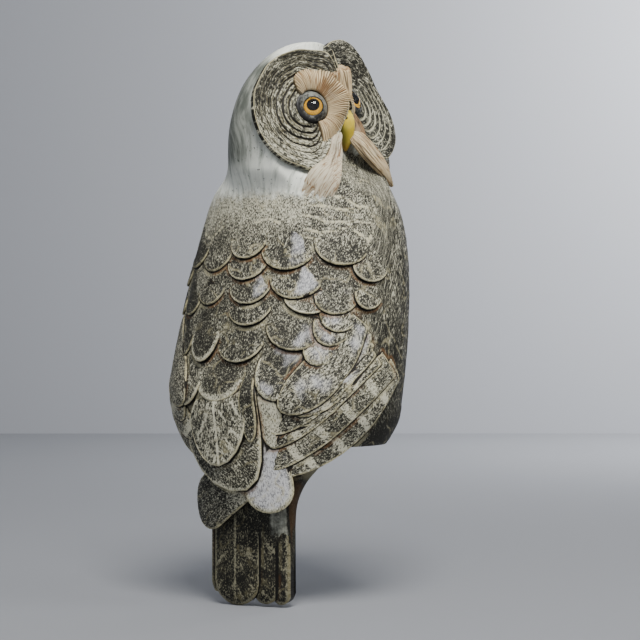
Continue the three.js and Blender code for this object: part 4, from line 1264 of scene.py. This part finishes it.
def on_disc(disc, turn, radius, height):
    """Point over a disc: turn from outward up, radius from the eye, height towards where it looks."""
    turn, radius, height = np.broadcast_arrays(turn, radius, height)
    inward, up = -radius * np.cos(turn), radius * np.sin(turn)
    height = height + RIDGE_HEIGHT * smoothstep(inward, 11, 27) * smoothstep(up, -28, -4)
    return from_eye(disc, radius * np.cos(turn), radius * np.sin(turn), height)


def make_disc(name, disc):
    piece = ball_blank(name, 176, 128)
    start = corners_of(piece)
    turn = np.arctan2(start[:, 1], start[:, 0])
    down = np.arccos(np.clip(start[:, 2], -1, 1)) / math.pi
    front = down <= DISC_FRONT
    share = np.where(front, down / DISC_FRONT, (1 - down) / (1 - DISC_FRONT))
    rim = disc_radius(disc, np.degrees(turn)) + RIM_WAVE * noise_at(21, np.cos(turn) * 5, np.sin(turn) * 5, 0)
    radius = share * rim
    low = np.maximum(0, -np.sin(turn)) ** 1.5
    wobble = RING_WAVE * noise_at(22, np.cos(turn) * 3, np.sin(turn) * 3, share * 4)
    ring_shares = [beside * (1 - low) + below * low + wobble for beside, below in DISC_RINGS]
    nearest = np.full(len(share), FAR)
    for at in ring_shares:
        nearest = np.minimum(nearest, np.abs(share - at) * rim)
    fade = smoothstep(radius, 14, 18)
    groove = sizes().ring_depth / MM * fade * (1 - 0.55 * smoothstep(share, 0.6, 0.78)) * np.exp(
        -(nearest / RING_WIDTH) ** 2)
    height = DISC_DISH * share * share - DISC_LOW - groove - 0.8 * smoothstep(share, 0.965, 1.0)
    back = np.minimum(-DISC_THICK - 6 + 8.5 * share ** 3, DISC_DISH - DISC_LOW - 3.0)
    socket = smoothstep(EYE_RADIUS + 1.5 - radius, 0, 2.5)
    height = np.where(front, height - 9 * socket, back)
    height = np.where(~front & (share < 0.25), np.minimum(height, -DISC_THICK - 9.5), height)
    shape(piece, on_disc(disc, turn, radius, height))

    degrees = np.degrees(turn)
    upper = within(degrees, -25, 30, 165, 185)
    outer = smoothstep(share, 0.5, 0.8)
    stops = [0.0, *ring_shares, 1.0]
    ring = sum(np.clip((share - inside) / (outside - inside), 0, 1)
               for inside, outside in zip(stops[:-1], stops[1:]))
    # Painted shadow: near the eye the dark lines widen below and outward, where the ring edges would cast
    # shade
    painted_shadow_side = (1 - smoothstep(share, 0.55, 0.68)) * np.maximum(0, np.cos(turn - math.radians(-45)))
    nearest = nearest * (1 - 0.35 * painted_shadow_side) * (1 + 0.5 * smoothstep(share, 0.6, 0.75))
    if disc["which"] > 0:
        cut = fade * (1 - 0.4 * outer * upper) * (1 - 0.25 * smoothstep(share, 0.66, 0.9))
        pale, tone = 0.0, 0.54 + 0.24 * upper * outer - 0.12 * low * outer
    else:
        cut, tone = 0.0, 0.72
        pale = fade * within(-degrees, -35, 5, 80, 115) * 0.85
    # The back and the wall of the disc get painted shade
    note(piece, recess=np.where(front, nearest, FAR), cut_depth=cut, pale=pale, ring=ring,
         edge=np.where(front, (1 - share) * rim, FAR), across=radius, along=turn * radius, tone=tone,
         shade=np.where(front, 0.0, 0.2))
    return finish_piece(piece, shared("face_disc_glaze", lambda: disc_glaze(palette())), FIGURE)


# Slopes outward and up at which the near and the far eye look
GAZE = {1: (0.68, 0.2), -1: (0.0, 0.1)}
LID_OPENING = math.radians(50)   # angle round the gaze that the lid leaves open
LID_FOOT = {1: (1.7, 0.65, -2.9), -1: (0.0, 0.65, -2.9)}     # its middle: outward, up, forward
LID_REACH = {1: (15.2, 14.0), -1: (13.4, 13.6)}              # half width and half height of the foot
LID_SHADOW = {1: 10, -1: 190}    # degrees from outward down to the lid's dark side
LID_LIT = 95                     # degrees from outward up to its side of painted sheen


def gaze_of(disc):
    """Direction in which an eye looks, with directions outward and up across it."""
    outward, upward = GAZE[disc["which"]]
    gaze = unit(disc["looks"] + disc["outward"] * outward + disc["up"] * upward)
    across = unit(disc["outward"] - gaze * (disc["outward"] @ gaze))
    above = unit(disc["up"] - gaze * (disc["up"] @ gaze) - across * (disc["up"] @ across))
    return gaze, across, above


def make_lid(name, disc):
    """Low mound round the eye, from its foot on the disc up to the opening round the iris."""
    deselect_all()
    bpy.ops.mesh.primitive_torus_add(major_segments=96, minor_segments=24, major_radius=2, minor_radius=1)
    piece = bpy.context.object
    piece.name = name
    start = corners_of(piece)
    turn = np.arctan2(start[:, 1], start[:, 0])
    minor = np.arctan2(start[:, 2], np.hypot(start[:, 0], start[:, 1]) - 2)
    gaze, across, above = gaze_of(disc)
    round_gaze = across * np.cos(turn)[:, None] + above * np.sin(turn)[:, None]
    inner = from_eye(disc, *EYE_MIDDLE) + (EYE_RADIUS + 0.2) * (
        gaze * math.cos(LID_OPENING) + round_gaze * math.sin(LID_OPENING))
    which = disc["which"]
    (out, up, looks), (half_width, half_height) = LID_FOOT[which], LID_REACH[which]
    foot = from_eye(disc, out + half_width * np.cos(turn), up + half_height * np.sin(turn), looks)
    inward = (1 - np.cos(minor)) / 2
    swell = np.where(minor >= 0, 2.1 * np.sin(minor) * (1 - 0.3 * inward), 2.6 * np.sin(minor))
    shape(piece, foot * (1 - inward)[:, None] + inner * inward[:, None] + disc["looks"] * swell[:, None])
    # Painted shadow on the lid's dark side, along its lower edge and at its lip against the glass; painted
    # sheen on its upper and inner sides
    dark_side = np.maximum(0, np.cos(turn + math.radians(LID_SHADOW[which]))) ** 0.7
    shadow = dark_side * (1 - smoothstep(inward, 0.3, 0.62)) + np.maximum(0, -np.sin(turn)) * (
        1 - smoothstep(inward, 0.08, 0.25))
    painted_sheen = np.maximum(np.maximum(0, np.cos(turn - math.radians(LID_LIT))), np.maximum(0, -np.cos(turn)) ** 2)
    note(piece, shade=np.clip(0.05 + shadow + smoothstep(inward, 0.86, 0.97), 0, 1), tone=painted_sheen)
    return finish_piece(piece, shared("dark_lid_glaze", lid_glaze), FIGURE)


# Outline of the fan round the eye: angles upwards from outward, and radii.
FAN_TURNS = [57, 64, 72, 90, 110, 130, 147, 161, 176, 195, 218, 240, 264, 279]
FAN_REACH = [19, 26, 29.5, 31.5, 32, 31.5, 30.5, 30, 29, 27.5, 27, 27.5, 29, 30.5]
FAN_SPAN = {1: (57, 279), -1: (70, 222)}     # first and last angle of the near and the far fan
FAN_COMBS = 58
FAN_FOOT = -3.5                              # how far the fan's back dives into the disc
FAN_HOT = 138                                # angle of its brown patch


def make_fan(name, disc):
    """Fan of combed feathers over the eye and down beside the beak."""
    piece = plate_blank(name, 300, 14, 2)
    start = corners_of(piece)
    step = np.rint(-start[:, 2]).astype(int)
    share, out = (start[:, 0] + 1) / 2, (start[:, 1] + 1) / 2
    first, last = FAN_SPAN[disc["which"]]
    turn = np.radians(first + (last - first) * share)
    degrees = np.degrees(turn)
    comb = np.abs(np.sin(share * FAN_COMBS * math.pi + 1.4 * noise_at(31, share * 30, 0, 0)))
    reach = value_at([*zip(FAN_TURNS, FAN_REACH)], degrees, 1)
    reach = reach + 0.8 * noise_at(32, share * 46, 0, 2) - 0.8 * (1 - comb)
    inner = 12.6 + 1.8 * np.maximum(0, np.sin(turn)) ** 2 + 1.5 * np.maximum(0, np.cos(turn))
    radius = inner + (reach - inner) * out
    radius = np.where((step > 0) & (out > 0.999), radius - 0.6 * step, radius)
    crest = 0.8 + 2.6 * np.sin(math.pi * np.clip(out * 1.05, 0, 1)) ** 0.8 + 0.9 * out
    crest = crest * (0.3 + 0.7 * smoothstep(share, 0, 0.08) * (1 - 0.6 * smoothstep(share, 0.93, 1.0)))
    height = crest - 1.25 * (1 - comb) * (0.35 + 0.65 * out)
    height = np.where(step == 1, crest - 1.6, height)
    height = np.where(step == 2, FAN_FOOT, height)
    height = np.where((np.abs(start[:, 0]) > 0.999) & (step == 0), height - 0.8, height)
    shape(piece, on_disc(disc, turn, radius, height))
    hot = np.exp(-((degrees - FAN_HOT) / 26) ** 2) * (1 - smoothstep(out, 0.25, 0.85)) * 0.7
    note(piece, across=degrees * 0.5, along=radius,
         recess=np.where(step == 0, comb * 1.15 - 0.12 * hot, 0.2), tone=0.1 + hot)
    return finish_piece(piece, combed_clay("tan_fan_glaze"), FIGURE)


# Colours of the combed clay: pale, brown, and how much more brown the tone brings.
COMBED = {
    "tan_fan_glaze": (colour(0.58, 0.45, 0.26), colour(0.24, 0.13, 0.05), 0.22),
    "brown_glaze_and_hollow_shade": (colour(0.3, 0.19, 0.1), colour(0.14, 0.075, 0.03), 0.2),
    "cream_moustache_glaze": (colour(0.5, 0.44, 0.32), colour(0.22, 0.13, 0.06), 0.25),
    "tan_moustache_glaze": (colour(0.54, 0.43, 0.26), colour(0.25, 0.15, 0.065), 0.2),
}
# Combed strands in the head's directions forward, to the near side and up, from the middle between
# the eyes: radii along the path, flatness, ridges round it, depth of the comb, how ragged the end is.
STRANDS = {
    "brow_tuft": dict(
        path=((8, 0, -12), (11, -1, -2), (14, -1, 7), (16.5, -1, 16), (17.5, -1, 22)),
        radii=[4.5, 5.5, 6.5, 7.5, 8.5], flatness=0.6, lines=56, comb_depth=1.5, ragged=0.5,
        facing=(0.8, 0.6, 0), glaze="tan_fan_glaze"),
    # The hollow beside the beak is a combed strand whose dark brown is partly its glaze and partly painted
    # shade
    "beak_hollow": dict(
        path=((6, -5, -6), (4, -9, -16), (2, -13, -27), (0, -17, -38)),
        radii=[3, 6, 7.5, 4], flatness=0.7, lines=20, comb_depth=0.5, glaze="brown_glaze_and_hollow_shade"),
    "right_moustache": dict(
        path=((3, 11, -24.3), (4, 21.5, -33), (1.6, 29, -45.4), (2.2, 47, -58.6), (-10, 59, -73)),
        radii=[3.5, 5.5, 7.5, 13, 15], flatness=0.24, lines=64, comb_depth=3.2, ragged=1.4,
        facing=(0.65, 0.76, -0.07), glaze="cream_moustache_glaze"),
    "left_moustache": dict(
        path=((3, -2, -28), (5, -8.5, -38), (5, -16, -50), (3, -26, -62.5), (-3, -37, -77)),
        radii=[7, 9.5, 9.5, 7.5, 3], flatness=0.5, lines=64, comb_depth=1.6, ragged=0.4,
        glaze="tan_moustache_glaze"),
}
BEAK_PATH = ((2, 0, -6), (4.7, 0, -14.3), (2.9, 0, -21.1), (-0.8, 0, -29.3), (-7.5, 0, -39.5))
BEAK_RADII = [4.5, 6.8, 7.2, 5.4, 1.8]
BEAK_WIDTH = 0.92                # half width as a share of the radius
KEEL = 0.12                      # how far the ridge on the beak stands out, as a share of the radius
NOSTRIL = (0.3, 0.75)            # share of the beak's length, and share of its half width


def combed_clay(name):
    return shared(name, lambda: fibre_glaze(palette(), name, *COMBED[name]))


def laid_along(piece, path, radii, facing=(1, 0, 0)):
    """Lays a ball blank along a smooth path, with directions across it and out of it."""
    start = corners_of(piece)
    t = np.arccos(np.clip(start[:, 2], -1, 1)) / math.pi
    angle = np.arctan2(start[:, 1], start[:, 0])

    def place(share):
        return rows(*(spread_evenly(column, np.clip(share, 0, 1)) for column in path.T))

    ahead = unit(place(t + 0.02) - place(t - 0.02))
    towards = HEAD["forward"] * facing[0] + HEAD["near"] * facing[1] + HEAD["up"] * facing[2]
    across = unit(np.cross(ahead, np.broadcast_to(towards, ahead.shape)))
    out = unit(np.cross(across, ahead))
    cap = np.sqrt(np.clip(1 - (2 * t - 1) ** 12, 0, 1))
    return t, angle, place(t), across, out, spread_evenly(radii, t) * cap


def make_strand(name):
    spec = STRANDS[name]
    path = np.array([face_point(*p) for p in spec["path"]])
    piece = ball_blank(name, 128, 72)
    facing = spec.get("facing", (1, 0, 0))
    t, angle, centre, across, out, thick = laid_along(piece, path, spec["radii"], facing)
    lines = spec["lines"]
    wave = noise_at(41, np.cos(angle) * lines / 6, np.sin(angle) * lines / 6, t * 1.2)
    finer = noise_at(42, np.cos(angle) * lines / 3, np.sin(angle) * lines / 3, t * 2.0)
    comb = 1 - np.abs(wave) * 1.3
    cut = spec["comb_depth"] * (np.maximum(0, comb - 0.55) + 0.5 * np.abs(finer))
    r = thick - cut * np.minimum(1, thick / 4)
    runs = np.diff(path, axis=0)
    end = smoothstep(t, 0.8, 1.0) * spec.get("ragged", 0.0)
    centre = centre + unit(runs)[-1] * (end * wave * 6)[:, None]
    shape(piece, moved(centre, (across, r * np.cos(angle)), (out, r * spec["flatness"] * np.sin(angle))))
    length = float(np.linalg.norm(runs, axis=1).sum())
    note(piece, across=angle * np.maximum(thick, 2) * 0.8, along=t * length,
         recess=np.clip((1 - comb) * 3 + 0.1, 0, 3), tone=0.2)
    return finish_piece(piece, combed_clay(spec["glaze"]), FIGURE)


class OWL_OT_discs(bpy.types.Operator):
    """Makes the two dished face discs with their cut rings"""
    bl_idname = "owl.discs"
    bl_label = "Face discs"

    def execute(self, context):
        for side, disc in DISCS.items():
            make_disc(side + "_face_disc", disc)
        return {"FINISHED"}


class OWL_OT_fans(bpy.types.Operator):
    """Makes the combed fans and the tuft between the discs"""
    bl_idname = "owl.fans"
    bl_label = "Fans and tuft"

    def execute(self, context):
        for side, disc in DISCS.items():
            make_fan(side + "_eye_fan", disc)
        make_strand("brow_tuft")
        return {"FINISHED"}


class OWL_OT_beak(bpy.types.Operator):
    """Makes the curved beak and the brown hollow beside it, whose dark brown also paints the shade in that
    hollow
    """
    bl_idname = "owl.beak"
    bl_label = "Beak"

    def execute(self, context):
        piece = ball_blank("beak", 96, 64)
        path = np.array([face_point(*p) for p in BEAK_PATH])
        t, angle, centre, across, out, thick = laid_along(piece, path, BEAK_RADII)
        keel = 1 + KEEL * np.exp(-((angle - math.pi / 2) / 0.5) ** 2)
        shape(piece, moved(centre, (across, thick * BEAK_WIDTH * np.cos(angle)),
                           (out, thick * keel * np.sin(angle))))
        side = np.cos(angle)
        hole = np.hypot((t - NOSTRIL[0]) * 42, (np.abs(side) - NOSTRIL[1]) * 6)
        note(piece, tone=smoothstep(side, 0.45, 1.0) * smoothstep(t, 0.35, 0.6),
             shade=smoothstep(t, 0.78, 0.98), recess=hole)
        finish_piece(piece, shared("yellow_beak_glaze", beak_glaze), FIGURE)
        make_strand("beak_hollow")
        return {"FINISHED"}


class OWL_OT_moustache(bpy.types.Operator):
    """Makes the combed moustache tufts beside the beak"""
    bl_idname = "owl.moustache"
    bl_label = "Moustache"

    def execute(self, context):
        make_strand("right_moustache")
        make_strand("left_moustache")
        return {"FINISHED"}


IRIS_RADIUS = 7.5
IRIS_HEIGHT = 6.2                # iris in front of the middle of its glass
IRIS_THICK = 1.6
IRIS_CONE = 0.05                 # how much the iris falls away towards its rim, for each millimetre
PUPIL_ASIDE = (-0.5, 1.1)        # middle of the pupil, outward and up of the middle of the iris


class OWL_OT_eyes(bpy.types.Operator):
    """Makes the lids, the clear glass eyes and the painted irises inside them"""
    bl_idname = "owl.eyes"
    bl_label = "Eyes"

    def execute(self, context):
        glass, paint = eye_glass(), iris_paint()
        for side, disc in DISCS.items():
            make_lid(side + "_lid", disc)
            ball = ball_blank(side + "_eye_glass", 64, 40)
            middle = from_eye(disc, *EYE_MIDDLE)
            shape(ball, middle + corners_of(ball) * EYE_RADIUS)
            finish_piece(ball, glass, side + "_eye")
            iris = ball_blank(side + "_iris", 72, 24)
            start = corners_of(iris)
            turn = np.arctan2(start[:, 1], start[:, 0])
            out = np.hypot(start[:, 0], start[:, 1]) * IRIS_RADIUS
            height = np.where(start[:, 2] >= 0, IRIS_HEIGHT - IRIS_CONE * out, IRIS_HEIGHT - IRIS_THICK)
            gaze, across, above = gaze_of(disc)
            right, up = out * np.cos(turn), out * np.sin(turn)
            shape(iris, moved(middle, (across, right), (above, up), (gaze, height)))
            from_pupil = np.hypot(right - PUPIL_ASIDE[0], up - PUPIL_ASIDE[1])
            note(iris, across=turn * 6, along=np.where(start[:, 2] >= -0.05, out, IRIS_RADIUS),
                 recess=from_pupil - sizes().pupil_radius / MM)
            finish_piece(iris, paint, side + "_eye")
        return {"FINISHED"}


TOE_HALF_SIZE = (8.5, 20, 9)
TOE_FAN = 12                     # degrees between two toes of a foot
TOE_SPACING = 14
FOOT_ASIDE = 24.5
FOOT_MIDDLE = (-78, 8)           # depth and height of the middle of the toes


class OWL_OT_feet(bpy.types.Operator):
    """Makes the short feathered toes under the breast"""
    bl_idname = "owl.feet"
    bl_label = "Feet"

    def execute(self, context):
        blank = ball_blank("toe_blank", 28, 18)
        pieces = []
        for side in (-1, 1):
            for spread in (-1, 0, 1):
                toe = copy_of(blank, "toe")
                start = corners_of(toe)
                lumps = 1 + 0.05 * soft_noise(start * 3 + spread, 51)
                x, y, z = (start * np.array(TOE_HALF_SIZE) * lumps[:, None]).T
                fan = math.radians(-spread * TOE_FAN)
                placed = rows(x * math.cos(fan) - y * math.sin(fan), x * math.sin(fan) + y * math.cos(fan), z)
                placed += np.array([side * FOOT_ASIDE + spread * TOE_SPACING, *FOOT_MIDDLE])
                placed[:, 2] = np.maximum(placed[:, 2], 0)
                shape(toe, placed)
                note(toe, **dict(BARE, across=x, along=y, seed=spread, tone=0.35))
                pieces.append(toe)
        bpy.data.objects.remove(blank)
        finish_piece(joined(pieces, "toes"), glaze_for_body(), FIGURE)
        return {"FINISHED"}


# Stage

CAMERA_AT = Vector((-0.7448, 1.3368, 0.1))
CAMERA_ALONG = Vector((0.4695, -0.8829, 0.0))
CAMERA_RIGHT = Vector((-0.8829, -0.4695, 0))
UP = Vector((0, 0, 1))
FOCUS_PIXELS = 1872.0
PHOTO_PIXELS = 640.0
FLOOR_Z = -0.1262
BACKDROP_AWAY = 2.2              # metres behind the owl, as the camera sees it
BACKDROP_REACH = 4
# Lights, placed by metres along the view, to the right and up: the same for the point each one
# faces, then its size in metres, its watts and its tint.
LIGHTS = {
    "key": ((-0.95, 0.2, 1.7), None, 0.8, 58, (1.0, 0.98, 0.94)),
    "side": ((-0.3, 1.7, 1.0), None, 1.1, 15, (1, 1, 1)),
    "fill": ((-1.2, -0.5, 0.9), None, 0.9, 3, (1, 1, 1)),
    "backdrop_light": ((1.5, 1.3, 0.9), (BACKDROP_AWAY, 0.5, 0.4), 0.7, 58, (1, 1, 1)),
}
OWL_MIDDLE = Vector((0, 0, 0.12))


def from_camera(along, right, up):
    return CAMERA_ALONG * along + CAMERA_RIGHT * right + UP * up


def linked(name, data, at, along):
    """A light or camera that looks along a direction."""
    made = bpy.data.objects.new(name, data)
    bpy.context.scene.collection.objects.link(made)
    made.location = at
    made.rotation_mode = "QUATERNION"
    made.rotation_quaternion = along.to_track_quat("-Z", "Y")
    return made


def stage_plane(name, size, z, tint, rough):
    deselect_all()
    bpy.ops.mesh.primitive_plane_add(size=size, location=(0, 0, z))
    plane = bpy.context.object
    plane.name = name
    plane.data.materials.append(plain_stage("pale_" + name, tint, rough))
    return plane


class OWL_OT_stage(bpy.types.Operator):
    """Sets the pale floor and backdrop, the soft studio lights and the camera"""
    bl_idname = "owl.stage"
    bl_label = "Stage"

    def execute(self, context):
        scene = context.scene
        stage_plane("floor", 2 * BACKDROP_REACH, FLOOR_Z, colour(0.22, 0.228, 0.245), 0.8)
        wall = stage_plane("backdrop", 2, 0, colour(0.31, 0.32, 0.345), 0.9)
        for corner in wall.data.vertices:
            up = BACKDROP_REACH if corner.co.y > 0 else FLOOR_Z
            corner.co = from_camera(BACKDROP_AWAY, corner.co.x * BACKDROP_REACH, up)
        for name, (at, towards, size, power, tint) in LIGHTS.items():
            data = bpy.data.lights.new(name, "AREA")
            data.shape = "SQUARE"
            data.size = size
            data.energy = power
            data.color = tint
            place = from_camera(*at)
            light = linked(name, data, place, (from_camera(*towards) if towards else OWL_MIDDLE) - place)
            light.visible_glossy = name == "key"
        scene.world = bpy.data.worlds.new("studio")
        scene.world.use_nodes = True
        background = scene.world.node_tree.nodes["Background"]
        background.inputs[0].default_value = (0.8, 0.86, 1.0, 1.0)
        background.inputs[1].default_value = 0.3
        data = bpy.data.cameras.new("camera")
        data.sensor_width = 36.0
        data.lens = FOCUS_PIXELS / PHOTO_PIXELS * data.sensor_width
        data.clip_end = 30.0
        scene.camera = linked("camera", data, CAMERA_AT, CAMERA_ALONG)
        return {"FINISHED"}


PIECES = [OWL_OT_body, OWL_OT_feathers, OWL_OT_tail, OWL_OT_discs, OWL_OT_fans, OWL_OT_beak,
          OWL_OT_moustache, OWL_OT_eyes, OWL_OT_feet, OWL_OT_stage]


class OWL_PT_panel(bpy.types.Panel):
    """Lists the owl's pieces and settings"""
    bl_label = "Stoneware owl"
    bl_idname = "OWL_PT_panel"
    bl_space_type = "VIEW_3D"
    bl_region_type = "UI"
    bl_category = "Owl"

    def draw(self, context):
        for piece in PIECES:
            self.layout.operator(piece.bl_idname)
        for group in (context.scene.owl_sizes, context.scene.owl_colours):
            for name in group.__annotations__:
                self.layout.prop(group, name)


def register():
    for item in (OwlSizes, OwlColours, *PIECES, OWL_PT_panel):
        bpy.utils.register_class(item)
    bpy.types.Scene.owl_sizes = bpy.props.PointerProperty(type=OwlSizes)
    bpy.types.Scene.owl_colours = bpy.props.PointerProperty(type=OwlColours)


def unregister():
    del bpy.types.Scene.owl_colours
    del bpy.types.Scene.owl_sizes
    for item in reversed((OwlSizes, OwlColours, *PIECES, OWL_PT_panel)):
        bpy.utils.unregister_class(item)


def main():
    register()
    for piece in PIECES:
        group, name = piece.bl_idname.split(".")
        getattr(getattr(bpy.ops, group), name)()


if __name__ == "__main__":
    main()
